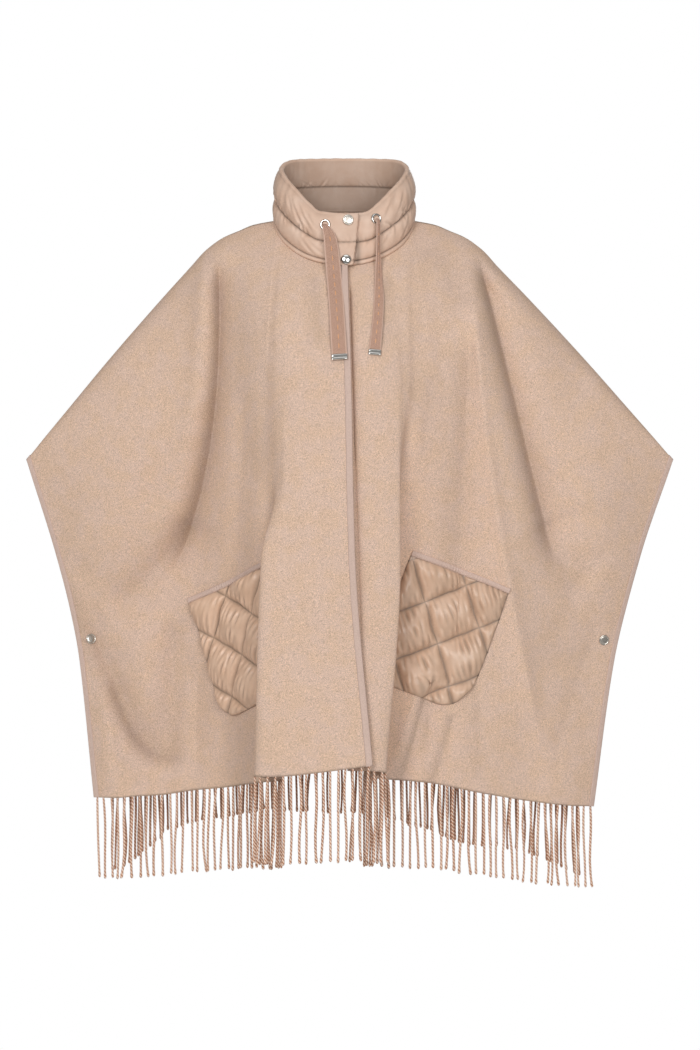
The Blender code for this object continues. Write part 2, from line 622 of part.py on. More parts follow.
def pocket_place(which, along, down):
    """Flat distance from the fold and height, for a place on the tilted pocket."""
    start, centre, height = POCKET_PLACES[which]
    tilt = math.radians(POCKET_TILT)
    across = centre + along * math.cos(tilt) - down * math.sin(tilt)
    tucked = -POCKET_HIDDEN * (1 - np.exp(np.minimum(across, 0) / POCKET_HIDDEN))
    across = np.where(across < 0, tucked, across)
    return start, across, height - along * math.sin(tilt) - down * math.cos(tilt)


def quilt_height(along, down):
    """Square quilting set askew: full between two sets of stitch lines that cross at right angles."""
    turn = math.radians(QUILT_TURN)
    across, below = along - QUILT_CENTRE[0], down - QUILT_CENTRE[1]
    u = (across * math.sin(turn) + below * math.cos(turn)) / QUILT_PITCH
    v = (across * math.cos(turn) - below * math.sin(turn)) / QUILT_PITCH
    return (np.abs(np.sin(math.pi * u)) * np.abs(np.sin(math.pi * v))) ** 0.5


def make_pocket(which, rows, side):
    down, half = pocket_rows()
    share = np.linspace(-1, 1, POCKET_COLUMNS)
    along = half[:, None] * share
    below = np.repeat(down[:, None], len(share), axis=1)
    start, across, height = pocket_place(which, along, below)
    points, outward = on_panel(rows, side, start, across, height)
    side_rise = (half[:, None] - np.abs(along)) / POCKET_SIDE_RISE
    end_rise = (POCKET_HALF_HEIGHT - np.abs(below)) / POCKET_END_RISE
    fill = np.clip(np.minimum(side_rise, end_rise), 0, 1) ** 0.5
    puff = POCKET_RIM + POCKET_PUFF * fill * quilt_height(along, below)
    inner = points + POCKET_BACK[which] * outward
    outer = inner + puff[..., None] * outward
    add_wall(f"pocket_{which}", outer, inner, "nylon")


def make_pocket_binding(which, rows, side):
    """A narrow bar of tape along the pocket's mouth."""
    low = -POCKET_HALF_HEIGHT - SEAM_GAP
    high = low - POCKET_TAPE_WIDTH
    along = np.linspace(-POCKET_HALF_WIDTH, POCKET_HALF_WIDTH, POCKET_COLUMNS)
    loop = []
    for down, reach in ((high, 0.0), (high, POCKET_TAPE_HEIGHT), (low, POCKET_TAPE_HEIGHT), (low, 0.0)):
        start, across, height = pocket_place(which, along, np.full(len(along), down))
        points, outward = on_panel(rows, side, start, across, height)
        loop.append(points + (POCKET_BACK[which] + reach) * outward)
    add_mesh(f"pocket_binding_{which}", np.stack(loop, axis=1), tube_faces(len(along), 4), "tape")


def turned_faces(rings, sides, closed_round):
    faces = []
    for i in range(rings if closed_round else rings - 1):
        following = (i + 1) % rings
        for c in range(sides):
            n = (c + 1) % sides
            faces.append((i * sides + c, i * sides + n, following * sides + n, following * sides + c))
    if not closed_round:
        faces += [tuple(range(sides))[::-1], tuple((rings - 1) * sides + c for c in range(sides))]
    return faces


def turned(profile, centre, axis, sides):
    """Rings of a turned piece: profile rows are radius and height along the axis."""
    axis = np.asarray(axis, float) / np.linalg.norm(axis)
    first = np.cross(axis, (0.0, 0.0, 1.0))
    first /= np.linalg.norm(first)
    second = np.cross(axis, first)
    angle = np.linspace(0, 2 * math.pi, sides, endpoint=False)
    circle = np.cos(angle)[:, None] * first + np.sin(angle)[:, None] * second
    return np.concatenate([centre + radius * circle + height * axis for radius, height in profile])


def make_snap(name, seat, axis):
    """A plain domed cap."""
    rim = 0.3 * SNAP_HEIGHT
    profile = [(SNAP_RADIUS - 0.5, 0.0)]
    for tilt in np.radians((0, 22, 45, 70)):
        profile.append((SNAP_RADIUS * math.cos(tilt), rim + (SNAP_HEIGHT - rim) * math.sin(tilt)))
    axis = np.asarray(axis) / np.linalg.norm(axis)
    points = turned(profile, seat + SEAM_GAP * axis, axis, ROUND_SIDES)
    add_mesh(name, points, turned_faces(len(profile), ROUND_SIDES, False), "steel")


def make_eyelet(name, seat, axis):
    middle = (EYELET_RADIUS + EYELET_HOLE) / 2
    profile = (
        (EYELET_RADIUS, 0.0), (EYELET_RADIUS - 0.6, EYELET_HEIGHT * 0.7), (middle, EYELET_HEIGHT),
        (EYELET_HOLE + 0.3, EYELET_HEIGHT * 0.7), (EYELET_HOLE, 0.0),
    )
    points = turned(profile, seat + SEAM_GAP * axis, axis, ROUND_SIDES)
    add_mesh(name, points, turned_faces(len(profile), ROUND_SIDES, True), "steel")


def cord_sections(route, turn, thickness):
    """Flat tape along its route: at each place a thin rectangle as wide as the tape there."""
    route = np.array(route)
    places = np.linspace(0, 1, CORD_STEPS) ** 1.5  # closer together at the eyelet
    steps = np.linalg.norm(np.diff(route[:, :3], axis=0), axis=1)
    run = np.concatenate([[0], np.cumsum(steps)]) / steps.sum()
    path = monotone(run, route, places)
    middle, width = path[:, :3], path[:, 3]
    forward = np.gradient(middle, axis=0)
    forward /= np.linalg.norm(forward, axis=1, keepdims=True)
    twist = turn * smooth_step((0.75 - places) / 0.75)
    flat = np.stack([np.cos(twist), np.sin(twist), np.zeros_like(twist)], axis=1)
    flat -= forward * (flat * forward).sum(axis=1, keepdims=True)
    flat /= np.linalg.norm(flat, axis=1, keepdims=True)
    face = np.cross(forward, flat)
    half = width[:, None] / 2
    thin = thickness / 2
    sections = np.stack(
        [
            middle + half * flat + thin * face, middle - half * flat + thin * face,
            middle - half * flat - thin * face, middle + half * flat - thin * face,
        ],
        axis=1,
    )
    return sections, middle[-1], forward[-1], flat[-1], face[-1]


def make_drawcord(which):
    route = CORD_ROUTES[which]
    sections, end, forward, flat, face = cord_sections(route, CORD_TURN[which], CORD_THICKNESS)
    add_mesh(f"drawcord_{which}", sections, tube_faces(len(sections), 4), "cord")
    half_width = route[-1][3] / 2 + CORD_TIP_MARGIN
    bevel = CORD_TIP_BEVEL
    bevels = ((0.0, bevel), (bevel, 0.0), (CORD_TIP_HEIGHT - bevel, 0.0), (CORD_TIP_HEIGHT, bevel))
    tip = []
    for down, shrink in bevels:
        centre = end + (SEAM_GAP + down) * forward
        a, b = half_width - shrink, (CORD_TIP_THICKNESS - shrink) / 2
        tip.append([centre + s * a * flat + t * b * face for s, t in ((1, 1), (-1, 1), (-1, -1), (1, -1))])
    add_mesh(f"cord_tip_{which}", np.array(tip), tube_faces(len(tip), 4), "steel")


def make_fringe(name, rows, facing, side):
    """Strands hanging from a narrow strip just under the hem."""
    shares = np.linspace(0, 1, 400)
    hem = panel_points(rows, shares, [0.995, 1.0], facing, side)[1]
    steps = np.linalg.norm(np.diff(hem, axis=0), axis=1)
    run = np.concatenate([[0], np.cumsum(steps)])
    margin = STRAND_WIDTH * 0.9
    count = int((run[-1] - 2 * margin) // STRAND_PITCH)
    centre = np.linspace(margin, run[-1] - margin, count)
    cuts = np.stack([centre - STRAND_WIDTH / 2, centre + STRAND_WIDTH / 2], axis=1).reshape(-1)
    cuts = np.concatenate([[0.5], cuts, [run[-1] - 0.5]])
    line = np.stack([np.interp(cuts, run, hem[:, k]) for k in range(3)], axis=1)
    line[:, 2] -= STRIP_GAP
    along = np.gradient(line, axis=0)
    away = np.stack([along[:, 1], -along[:, 0]], axis=1)
    away /= np.linalg.norm(away, axis=1, keepdims=True)
    away = np.concatenate([away, np.zeros((len(away), 1))], axis=1) * STRAND_DEPTH / 2
    low = np.array([0, 0, STRIP_HEIGHT])
    sections = np.stack([line + away, line - away, line - away - low, line + away - low], axis=1)
    points = list(sections.reshape(-1, 3))
    faces = [(0, 1, 2, 3), tuple(4 * (len(cuts) - 1) + c for c in (3, 2, 1, 0))]
    for i in range(len(cuts) - 1):
        a, b = 4 * i, 4 * (i + 1)
        faces += [(a, a + 3, b + 3, b), (a + 1, a, b, b + 1), (a + 2, a + 1, b + 1, b + 2)]
        if i % 2 == 0:
            faces.append((a + 3, a + 2, b + 2, b + 3))
            continue
        root = [a + 3, a + 2, b + 2, b + 3]
        middle = sum(points[k] for k in root) / 4
        centre_share = 1 - min(abs(middle[0]) / STRAND_CENTRE_REACH, 1.0)
        length = STRAND_LENGTH_SIDE + (STRAND_LENGTH_CENTRE - STRAND_LENGTH_SIDE) * centre_share
        tip = len(points)
        for k in root:
            end = middle + STRAND_TAPER * (points[k] - middle)
            points.append(end - np.array([0, 0, length - STRIP_HEIGHT]))
        for c in range(4):
            n = (c + 1) % 4
            faces.append((root[c], root[n], tip + n, tip + c))
        faces.append((tip, tip + 1, tip + 2, tip + 3))
    add_mesh(name, np.array(points), faces, "fringe")


def make_side_snap(which, points, normal):
    """The cap lies on the wool beside the side tape, level with the pinch in the side edges."""
    inset = np.abs(points[:, -1:, 0] - points[:, -5:, 0])[:, ::-1]
    fields = np.concatenate([points, normal], axis=-1)[:, -5:][:, ::-1]
    line = np.zeros((len(points), 6))
    for row, steps in enumerate(inset):
        line[row] = [np.interp(SIDE_SNAP_INSET, steps, fields[row, :, k]) for k in range(6)]
    place = np.array([np.interp(-SIDE_SNAP_Z, -line[:, 2], line[:, k]) for k in range(6)])
    outward = place[3:] / np.linalg.norm(place[3:])
    make_snap(f"snap_side_{which}", place[:3] + (WALL / 2 + SIDE_SNAP_STAND) * outward, outward)


def make_cape():
    side_share = SIDE_TAPE_WIDTH / CLOTH_WIDTH
    front_edges = (TAPE_WIDTH / CLOTH_WIDTH, 1 - side_share)
    for which, rows, side in (("right", FRONT_RIGHT_ROWS, RIGHT), ("left", FRONT_LEFT_ROWS, LEFT)):
        shares = share_steps(rows, 0.055, front_edges)
        points, normal = make_panel(f"front_{which}", rows, -1, side, shares)
        make_edge_binding(f"front_binding_{which}", points, normal, True)
        make_edge_binding(f"side_binding_front_{which}", points, normal, False)
        make_side_snap(which, points, normal)
        make_pocket(which, rows, side)
        make_pocket_binding(which, rows, side)
        make_fringe(f"fringe_front_{which}", rows, -1, side)
    back_edges = (side_share / 2, 1 - side_share / 2)
    shares = share_steps(BACK_ROWS, 0.05, back_edges)
    points, normal = make_panel("back", BACK_ROWS, 1, None, shares)
    make_edge_binding("side_binding_back_right", points, normal, True)
    make_edge_binding("side_binding_back_left", points, normal, False)
    make_fringe("fringe_back", BACK_ROWS, 1, None)


def make_hardware():
    for which, (turn, height) in COLLAR_SNAPS.items():
        seat, outward = collar_front(math.radians(turn), height)
        make_snap(f"snap_collar_{which}", seat + SNAP_STAND * outward, outward)
    for which, (turn, height) in EYELETS.items():
        seat, outward = collar_front(math.radians(turn), height)
        make_eyelet(f"eyelet_{which}", seat + EYELET_STAND * outward, outward)
        make_drawcord(which)


def main():
    for obj in list(bpy.data.objects):
        bpy.data.objects.remove(obj, do_unlink=True)
    make_cape()
    make_collar()
    make_hardware()


main()
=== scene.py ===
import math

import bpy
import numpy as np
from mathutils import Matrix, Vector


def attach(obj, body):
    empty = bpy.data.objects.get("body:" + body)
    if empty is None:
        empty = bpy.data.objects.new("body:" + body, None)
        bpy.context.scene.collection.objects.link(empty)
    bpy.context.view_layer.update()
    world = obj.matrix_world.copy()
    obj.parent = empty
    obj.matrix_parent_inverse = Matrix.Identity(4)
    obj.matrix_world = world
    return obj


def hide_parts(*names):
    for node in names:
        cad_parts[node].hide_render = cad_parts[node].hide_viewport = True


# Lengths in the dictionaries are millimetres. They become metres in addPiece.
mm = 0.001
wearerRight, wearerLeft = -1, 1

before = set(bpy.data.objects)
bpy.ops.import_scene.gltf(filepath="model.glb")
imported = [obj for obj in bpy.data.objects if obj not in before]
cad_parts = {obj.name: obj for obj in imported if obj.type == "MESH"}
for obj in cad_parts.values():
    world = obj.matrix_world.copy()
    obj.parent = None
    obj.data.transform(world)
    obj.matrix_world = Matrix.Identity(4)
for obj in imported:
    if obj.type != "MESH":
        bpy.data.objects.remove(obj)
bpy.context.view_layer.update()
print("frame loaded")


def hexToLinear(text):
    # each channel: c / 12.92 below 0.04045, else ((c + 0.055) / 1.055) ^ 2.4
    channels = np.array([int(text[i:i + 2], 16) / 255 for i in (1, 3, 5)])
    linear = np.where(channels <= 0.04045, channels / 12.92, ((channels + 0.055) / 1.055) ** 2.4)
    return (*linear.tolist(), 1.0)


def smoothStep(value):
    # 3t^2 - 2t^3 between 0 and 1
    value = np.clip(value, 0.0, 1.0)
    return value * value * (3.0 - 2.0 * value)


def bell(distance):
    # Gauss bell exp(-d^2), one at the middle
    return np.exp(-(distance**2))


def unit(vectors):
    return vectors / np.linalg.norm(vectors, axis=-1, keepdims=True)


def runAlong(points):
    # distance from the first point along a line, or along each line of a grid
    steps = np.linalg.norm(np.diff(points, axis=-2), axis=-1).cumsum(axis=-1)
    return np.concatenate([np.zeros((*steps.shape[:-1], 1)), steps], axis=-1)


def lookAlong(places, run, line):
    # a line's columns between its points, at places along its run
    return np.stack([np.interp(places, run, column) for column in line.T], axis=-1)


def circleAngles(count):
    return np.linspace(0, 2 * math.pi, count, endpoint=False)


def gridFaces(index):
    # the squares between neighbouring rows and columns of a grid of point numbers
    corners = (index[:-1, :-1], index[:-1, 1:], index[1:, 1:], index[1:, :-1])
    return np.stack(corners, axis=-1).reshape(-1, 4)


def monotone(knots, values, wanted):
    # cubic through the values that never overshoots them: harmonic mean slopes, Hermite blend
    knots = np.asarray(knots, float)
    values = np.asarray(values, float)
    shape = (-1, *[1] * (values.ndim - 1))
    step = np.diff(knots)
    slope = np.diff(values, axis=0) / step.reshape(shape)
    tangent = np.zeros_like(values)
    tangent[0], tangent[-1] = slope[0], slope[-1]
    sameWay = slope[1:] * slope[:-1] > 0
    both = np.where(sameWay, slope[1:] + slope[:-1], 1.0)
    tangent[1:-1] = np.where(sameWay, 2.0 * slope[1:] * slope[:-1] / both, 0.0)
    index = np.clip(np.searchsorted(knots, wanted, side="right") - 1, 0, len(step) - 1)
    width = step[index].reshape(shape)
    along = (wanted - knots[index]).reshape(shape) / width
    start = (1 + 2 * along) * (1 - along) ** 2 * values[index]
    end = along**2 * (3 - 2 * along) * values[index + 1]
    leave = along * (1 - along) ** 2 * width * tangent[index]
    arrive = along**2 * (along - 1) * width * tangent[index + 1]
    return start + end + leave + arrive


def softNoise(u, v, size, seed):
    # sum of eight plane waves in random directions, wavelengths from 0.7 to 1.6 times size
    rng = np.random.default_rng(seed)
    total = np.zeros(np.broadcast(u, v).shape)
    for turn, scale, phase in rng.uniform((0, 0.7, 0), (math.pi, 1.6, 2 * math.pi), (8, 3)):
        wave = 2 * math.pi / (size * scale)
        total += np.sin(wave * (u * math.cos(turn) + v * math.sin(turn)) + phase)
    return total / 4


def inwards(points, faces):
    # whether the faces enclose a negative volume, from the triple products of their corners
    corner = points[faces]
    return sum((corner[:, 0] * np.cross(corner[:, k], corner[:, k + 1])).sum() for k in (1, 2)) < 0


def addPiece(name, points, faces, material):
    mesh = bpy.data.meshes.new(name)
    mesh.from_pydata(points * mm, [], faces)
    mesh.shade_smooth()
    mesh.materials.append(material)
    piece = bpy.data.objects.new(name, mesh)
    bpy.context.scene.collection.objects.link(piece)
    return piece


def closedMap(spread, along):
    # a loop's map: u across and v along, with the first corner again at its end
    uv = np.stack(np.broadcast_arrays(spread, along), axis=-1)
    return np.concatenate([uv, uv[:, :1]], axis=1)


def addTubes(name, sections, material, uv=None, shade=None):
    # closed tubes: sections is (tubes, sections, corners, 3); each end is closed across its loop,
    # corner i with the corner opposite it, so that flat loops close into a thin edge
    sections = np.asarray(sections, float)
    if sections.ndim == 3:
        sections = sections[None]
        uv = None if uv is None else np.asarray(uv)[None]
    tubes, count, corners = sections.shape[:3]
    near, c = np.meshgrid(np.arange(count - 1), np.arange(corners), indexing="ij")
    sides = np.stack([near, near, near + 1, near + 1], axis=-1)
    across = np.stack([c, c + 1, c + 1, c], axis=-1)
    i = np.arange(corners // 2 - 1)
    lid = np.stack([i, i + 1, corners - 2 - i, corners - 1 - i], axis=-1)
    first = np.zeros_like(lid)
    row = np.concatenate([sides.reshape(-1, 4), first, first + count - 1])
    column = np.concatenate([across.reshape(-1, 4), lid[:, ::-1], lid])
    one = row * corners + column % corners
    if inwards(sections[0].reshape(-1, 3), one):
        one, row, column = one[:, ::-1], row[:, ::-1], column[:, ::-1]
    faces = (np.arange(tubes)[:, None, None] * count * corners + one).reshape(-1, 4)
    piece = addPiece(name, sections.reshape(-1, 3), faces, material)
    if uv is not None:
        layer = piece.data.uv_layers.new(name="uv")
        layer.data.foreach_set("uv", np.asarray(uv)[:, row, column].astype(np.float32).ravel())
    if shade is not None:
        layer = piece.data.attributes.new("shade", "FLOAT", "POINT")
        layer.data.foreach_set("value", np.asarray(shade, np.float32).ravel())
    return piece


def shellSections(outer, inner, lip):
    # each row becomes a loop: outer side, a rounded lip, inner side back again, and the other lip
    ends = []
    for edge, following in ((-1, -2), (0, 1)):
        middle = (outer[:, edge] + inner[:, edge]) / 2
        beyond = middle - (outer[:, following] + inner[:, following]) / 2
        ends.append((middle + lip * unit(beyond))[:, None])
    return np.concatenate([outer, ends[0], inner[:, ::-1], ends[1]], axis=1)


def shellShade(shade):
    # the same value on both sides, one for each point of the loops that shellSections makes
    return np.concatenate([shade, shade[:, -1:], shade[:, ::-1], shade[:, :1]], axis=1)


def boxMean(field, reach):
    # mean over a square of places round each one, the edges repeated outwards
    for axis in (0, 1):
        width = [(reach + 1, reach) if k == axis else (0, 0) for k in (0, 1)]
        total = np.cumsum(np.pad(field, width, mode="edge"), axis=axis)
        size = total.shape[axis]
        upper = np.take(total, range(2 * reach + 1, size), axis)
        field = (upper - np.take(total, range(0, size - 2 * reach - 1), axis)) / (2 * reach + 1)
    return field


def place(piece, slot, *nodes):
    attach(piece, "root")
    if nodes:
        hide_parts(*nodes)
    return piece


def newMaterial(name):
    material = bpy.data.materials.new(name)
    material.use_nodes = True
    tree = material.node_tree
    return material, tree, tree.nodes["Principled BSDF"]


def setInputs(tree, node, **inputs):
    # an input is a value or a (node, output) link; a name such as _0 is the socket's number
    for socket, value in inputs.items():
        socket = int(socket[1:]) if socket[0] == "_" else socket.replace("_", " ")
        if isinstance(value, tuple) and isinstance(value[0], bpy.types.Node):
            tree.links.new(value[0].outputs[value[1]], node.inputs[socket])
        else:
            node.inputs[socket].default_value = value
    return node


def addNode(tree, kind, settings=None, **inputs):
    # settings are the node's own fields
    node = tree.nodes.new(kind)
    for field, value in (settings or {}).items():
        setattr(node, field, value)
    return setInputs(tree, node, **inputs)


def colourRamp(tree, factor, stops):
    ramp = addNode(tree, "ShaderNodeValToRGB", _0=factor)
    elements = ramp.color_ramp.elements
    while len(elements) < len(stops):
        elements.new(0.5)
    for element, (position, colour) in zip(elements, stops):
        element.position = position
        element.color = hexToLinear(colour)
    return ramp


def shaded(tree, colour):
    # the colour times one plus the mesh's own "shade", which is below zero deep in folds and
    # along seams, where less light reaches the cloth: painted shade there, and painted light
    # where it is above zero
    own = addNode(tree, "ShaderNodeAttribute", {"attribute_name": "shade"})
    level = addNode(tree, "ShaderNodeMath", {"operation": "ADD"}, _0=(own, "Fac"), _1=1.0)
    return addNode(tree, "ShaderNodeVectorMath", {"operation": "SCALE"}, _0=colour, Scale=(level, 0)), 0


# Heathered wool flannel, milled and brushed: pale and brown fibres lie mixed, so the colour
# is grainy from close by and even from afar, and the raised nap softens every edge. The grain
# stands for tufts of fibres, drawn at 1.3 mm so that it shows.
woolLook = {
    "tan": "#D5B7A0", "pink": "#D5B9A7", "nap": "#F2DCC8", "cloudMm": 26.0, "fibreMm": 1.3, "napMm": 1.2,
    "grain": (0.60, 1.36), "sheen": 0.15,
}


def makeWool(name, look):
    material, tree, shader = newMaterial(name)
    where = addNode(tree, "ShaderNodeTexCoord")
    cloud = addNode(tree, "ShaderNodeTexNoise", Vector=(where, "Object"),
                    Scale=1000 / look["cloudMm"], Detail=2.0, Roughness=0.6)
    blend = colourRamp(tree, (cloud, "Fac"), ((0.38, look["tan"]), (0.62, look["pink"])))
    fibre = addNode(tree, "ShaderNodeTexNoise", Vector=(where, "Object"),
                    Scale=1000 / look["fibreMm"], Detail=3.0, Roughness=0.7)
    grain = addNode(tree, "ShaderNodeMapRange", Value=(fibre, "Fac"), From_Min=0.3, From_Max=0.7,
                    To_Min=look["grain"][0], To_Max=look["grain"][1])
    mixed = addNode(tree, "ShaderNodeVectorMath", {"operation": "SCALE"},
                    _0=(blend, "Color"), Scale=(grain, 0))
    nap = addNode(tree, "ShaderNodeTexNoise", Vector=(where, "Object"),
                  Scale=1000 / look["napMm"], Detail=2.0, Roughness=0.6)
    bump = addNode(tree, "ShaderNodeBump", Strength=0.3, Distance=0.0005, Height=(nap, "Fac"))
    setInputs(tree, shader, Base_Color=shaded(tree, (mixed, 0)), Normal=(bump, "Normal"),
              Roughness=0.95, Specular_IOR_Level=0.2, Sheen_Weight=look["sheen"],
              Sheen_Roughness=0.5, Sheen_Tint=hexToLinear(look["nap"]))
    return material


# Down-proof nylon, tightly woven and calendered: smooth to the eye with a satin shine that
# runs along each puff, and a fine cross grain. The real threads, 0.1 mm apart, are drawn at 0.7.
nylonLook = {
    "dark": "#CBA98F", "middle": "#D0AF96", "light": "#D6B79F", "cloudMm": 26.0, "threadMm": 0.7,
    "crumpleMm": 11.0, "roughness": 0.36, "specular": 0.55, "crumple": 0.35,
}
# the collar's copy of the cloth is a shade pinker and lighter, painted light that stands in
# for the sheen on its upper channel, and it is duller
collarNylonLook = {
    **nylonLook, "dark": "#D0AF99", "middle": "#D5B6A1", "light": "#DBBFAC",
    "roughness": 0.5, "specular": 0.4, "crumple": 0.22,
}


def makeNylon(name, look):
    material, tree, shader = newMaterial(name)
    where = addNode(tree, "ShaderNodeTexCoord")
    cloud = addNode(tree, "ShaderNodeTexNoise", Vector=(where, "Object"),
                    Scale=1000 / look["cloudMm"], Detail=3.0, Roughness=0.55)
    ramp = colourRamp(tree, (cloud, "Fac"), (
        (0.30, look["dark"]), (0.50, look["middle"]), (0.72, look["light"])))
    crumple = addNode(tree, "ShaderNodeTexNoise", Vector=(where, "Object"),
                      Scale=1000 / look["crumpleMm"], Detail=4.0, Roughness=0.6, Distortion=0.6)
    broad = addNode(tree, "ShaderNodeBump", Strength=look["crumple"], Distance=0.001,
                    Height=(crumple, "Fac"))
    thread = addNode(tree, "ShaderNodeTexNoise", Vector=(where, "Object"),
                     Scale=1000 / look["threadMm"], Detail=1.0)
    fine = addNode(tree, "ShaderNodeBump", Strength=0.12, Distance=0.0003,
                   Height=(thread, "Fac"), Normal=(broad, "Normal"))
    setInputs(tree, shader, Base_Color=shaded(tree, (ramp, "Color")), Normal=(fine, "Normal"),
              Roughness=look["roughness"], Specular_IOR_Level=look["specular"],
              Sheen_Weight=0.12, Sheen_Roughness=0.4)
    return material


# Grosgrain tape, woven with a rib across it: dull and slightly pink, its ribs catch the light
# as fine lines from edge to edge. The u of its map runs across it, and v along it, 2 pi to a
# rib. Real ribs are about 0.8 mm apart and wouldn't show.
tapeLook = {"dark": "#C2A799", "light": "#DCC2B5", "ribMm": 1.5}


def makeTape(name, look):
    material, tree, shader = newMaterial(name)
    where = addNode(tree, "ShaderNodeTexCoord")
    ribs = addNode(tree, "ShaderNodeTexWave", {"bands_direction": "Y", "wave_profile": "SIN"},
                   Vector=(where, "UV"), Scale=1 / (2 * math.pi), Distortion=0.4,
                   Detail=1.0, Detail_Scale=2.0)
    speckle = addNode(tree, "ShaderNodeTexNoise", Vector=(where, "Object"), Scale=700.0, Detail=2.0)
    mixed = addNode(tree, "ShaderNodeMath", {"operation": "MULTIPLY_ADD"},
                    _0=(ribs, "Fac"), _1=0.45, _2=(speckle, "Fac"))
    ramp = colourRamp(tree, (mixed, 0), ((0.35, look["dark"]), (0.85, look["light"])))
    bump = addNode(tree, "ShaderNodeBump", Strength=0.5, Distance=0.0003, Height=(ribs, "Fac"))
    setInputs(tree, shader, Base_Color=(ramp, "Color"), Normal=(bump, "Normal"),
              Roughness=0.75, Specular_IOR_Level=0.3)
    return material


# Twill tape for the drawcords: a herringbone of slanting ribs that turns over at the middle,
# between two plain lighter selvedges. u runs across it, v along it, both in millimetres. The
# ribs are drawn 2.6 mm apart, twice as far as woven ones, so that they show.
twillLook = {
    "dark": "#A27F6E", "light": "#CBA692", "selvedge": "#D3B2A0", "ribMm": 2.6, "slant": 0.55,
    "selvedgeFrom": 8.6, "selvedgeFull": 9.6,
}


def makeTwill(name, look):
    material, tree, shader = newMaterial(name)
    where = addNode(tree, "ShaderNodeTexCoord")
    parts = addNode(tree, "ShaderNodeSeparateXYZ", Vector=(where, "UV"))
    away = addNode(tree, "ShaderNodeMath", {"operation": "ABSOLUTE"}, _0=(parts, "X"))
    slant = addNode(tree, "ShaderNodeMath", {"operation": "MULTIPLY_ADD"},
                    _0=(away, 0), _1=look["slant"], _2=(parts, "Y"))
    wave = addNode(tree, "ShaderNodeMath", {"operation": "MULTIPLY"},
                   _0=(slant, 0), _1=2 * math.pi / look["ribMm"])
    rib = addNode(tree, "ShaderNodeMath", {"operation": "SINE"}, _0=(wave, 0))
    speckle = addNode(tree, "ShaderNodeTexNoise", Vector=(where, "Object"), Scale=900.0, Detail=2.0)
    mixed = addNode(tree, "ShaderNodeMath", {"operation": "MULTIPLY_ADD"},
                    _0=(rib, 0), _1=0.16, _2=(speckle, "Fac"))
    ramp = colourRamp(tree, (mixed, 0), ((0.32, look["dark"]), (0.66, look["light"])))
    edge = addNode(tree, "ShaderNodeMapRange", Value=(away, 0),
                   From_Min=look["selvedgeFrom"], From_Max=look["selvedgeFull"])
    mix = addNode(tree, "ShaderNodeMix", {"data_type": "RGBA"}, _0=(edge, 0),
                  _6=(ramp, "Color"), _7=hexToLinear(look["selvedge"]))
    bump = addNode(tree, "ShaderNodeBump", Strength=0.5, Distance=0.0004, Height=(rib, 0))
    setInputs(tree, shader, Base_Color=(mix, 2), Normal=(bump, "Normal"),
              Roughness=0.8, Specular_IOR_Level=0.25)
    return material


# Two-ply wool yarn, twisted hard: each ply shows as a slanting bead with a dark groove beside
# it; the groove's darkness is painted shade and the bead's lightest crest is painted light.
# u runs once round the strand and v counts its twists. "shade" differs by strand at random,
# and on the back's strands it also adds painted shade on the side that faces the body.
yarnLook = {"groove": "#AE7A5E", "ply": "#F0C8AE", "light": "#FBE0CD"}


def makeYarn(name, look):
    material, tree, shader = newMaterial(name)
    where = addNode(tree, "ShaderNodeTexCoord")
    parts = addNode(tree, "ShaderNodeSeparateXYZ", Vector=(where, "UV"))
    turns = addNode(tree, "ShaderNodeMath", {"operation": "ADD"}, _0=(parts, "X"), _1=(parts, "Y"))
    wave = addNode(tree, "ShaderNodeMath", {"operation": "MULTIPLY"}, _0=(turns, 0), _1=4 * math.pi)
    ply = addNode(tree, "ShaderNodeMath", {"operation": "SINE"}, _0=(wave, 0))
    fuzz = addNode(tree, "ShaderNodeTexNoise", Vector=(where, "Object"), Scale=900.0, Detail=2.0)
    own = addNode(tree, "ShaderNodeAttribute", {"attribute_name": "shade"})
    lifted = addNode(tree, "ShaderNodeMath", {"operation": "MULTIPLY_ADD"},
                     _0=(own, "Fac"), _1=0.2, _2=(fuzz, "Fac"))
    mixed = addNode(tree, "ShaderNodeMath", {"operation": "MULTIPLY_ADD"},
                    _0=(ply, 0), _1=0.42, _2=(lifted, 0))
    ramp = colourRamp(tree, (mixed, 0), (
        (0.22, look["groove"]), (0.55, look["ply"]), (0.9, look["light"])))
    bump = addNode(tree, "ShaderNodeBump", Strength=0.6, Distance=0.0009, Height=(ply, 0))
    setInputs(tree, shader, Base_Color=(ramp, "Color"), Normal=(bump, "Normal"),
              Roughness=0.92, Specular_IOR_Level=0.2, Sheen_Weight=0.15)
    return material


# Pressed brass with bright nickel plating: a near mirror, just hazy from handling.
def makeNickel(name, hexColour, roughness, scratchMm):
    material, tree, shader = newMaterial(name)
    where = addNode(tree, "ShaderNodeTexCoord")
    haze = addNode(tree, "ShaderNodeTexNoise", Vector=(where, "Object"),
                   Scale=1000 / scratchMm, Detail=4.0)
    rough = addNode(tree, "ShaderNodeMapRange", Value=(haze, "Fac"),
                    To_Min=roughness * 0.7, To_Max=roughness * 1.3)
    setInputs(tree, shader, Base_Color=hexToLinear(hexColour), Metallic=1.0, Roughness=(rough, 0))
    return material


# Polyester sewing thread with a slight shine, in the running stitch on the drawcords.
def makeThread(name, hexColour):
    material, tree, shader = newMaterial(name)
    where = addNode(tree, "ShaderNodeTexCoord")
    strand = addNode(tree, "ShaderNodeTexNoise", Vector=(where, "Object"), Scale=1500.0)
    bump = addNode(tree, "ShaderNodeBump", Strength=0.4, Distance=0.0002, Height=(strand, "Fac"))
    setInputs(tree, shader, Base_Color=hexToLinear(hexColour), Normal=(bump, "Normal"), Roughness=0.55)
    return material


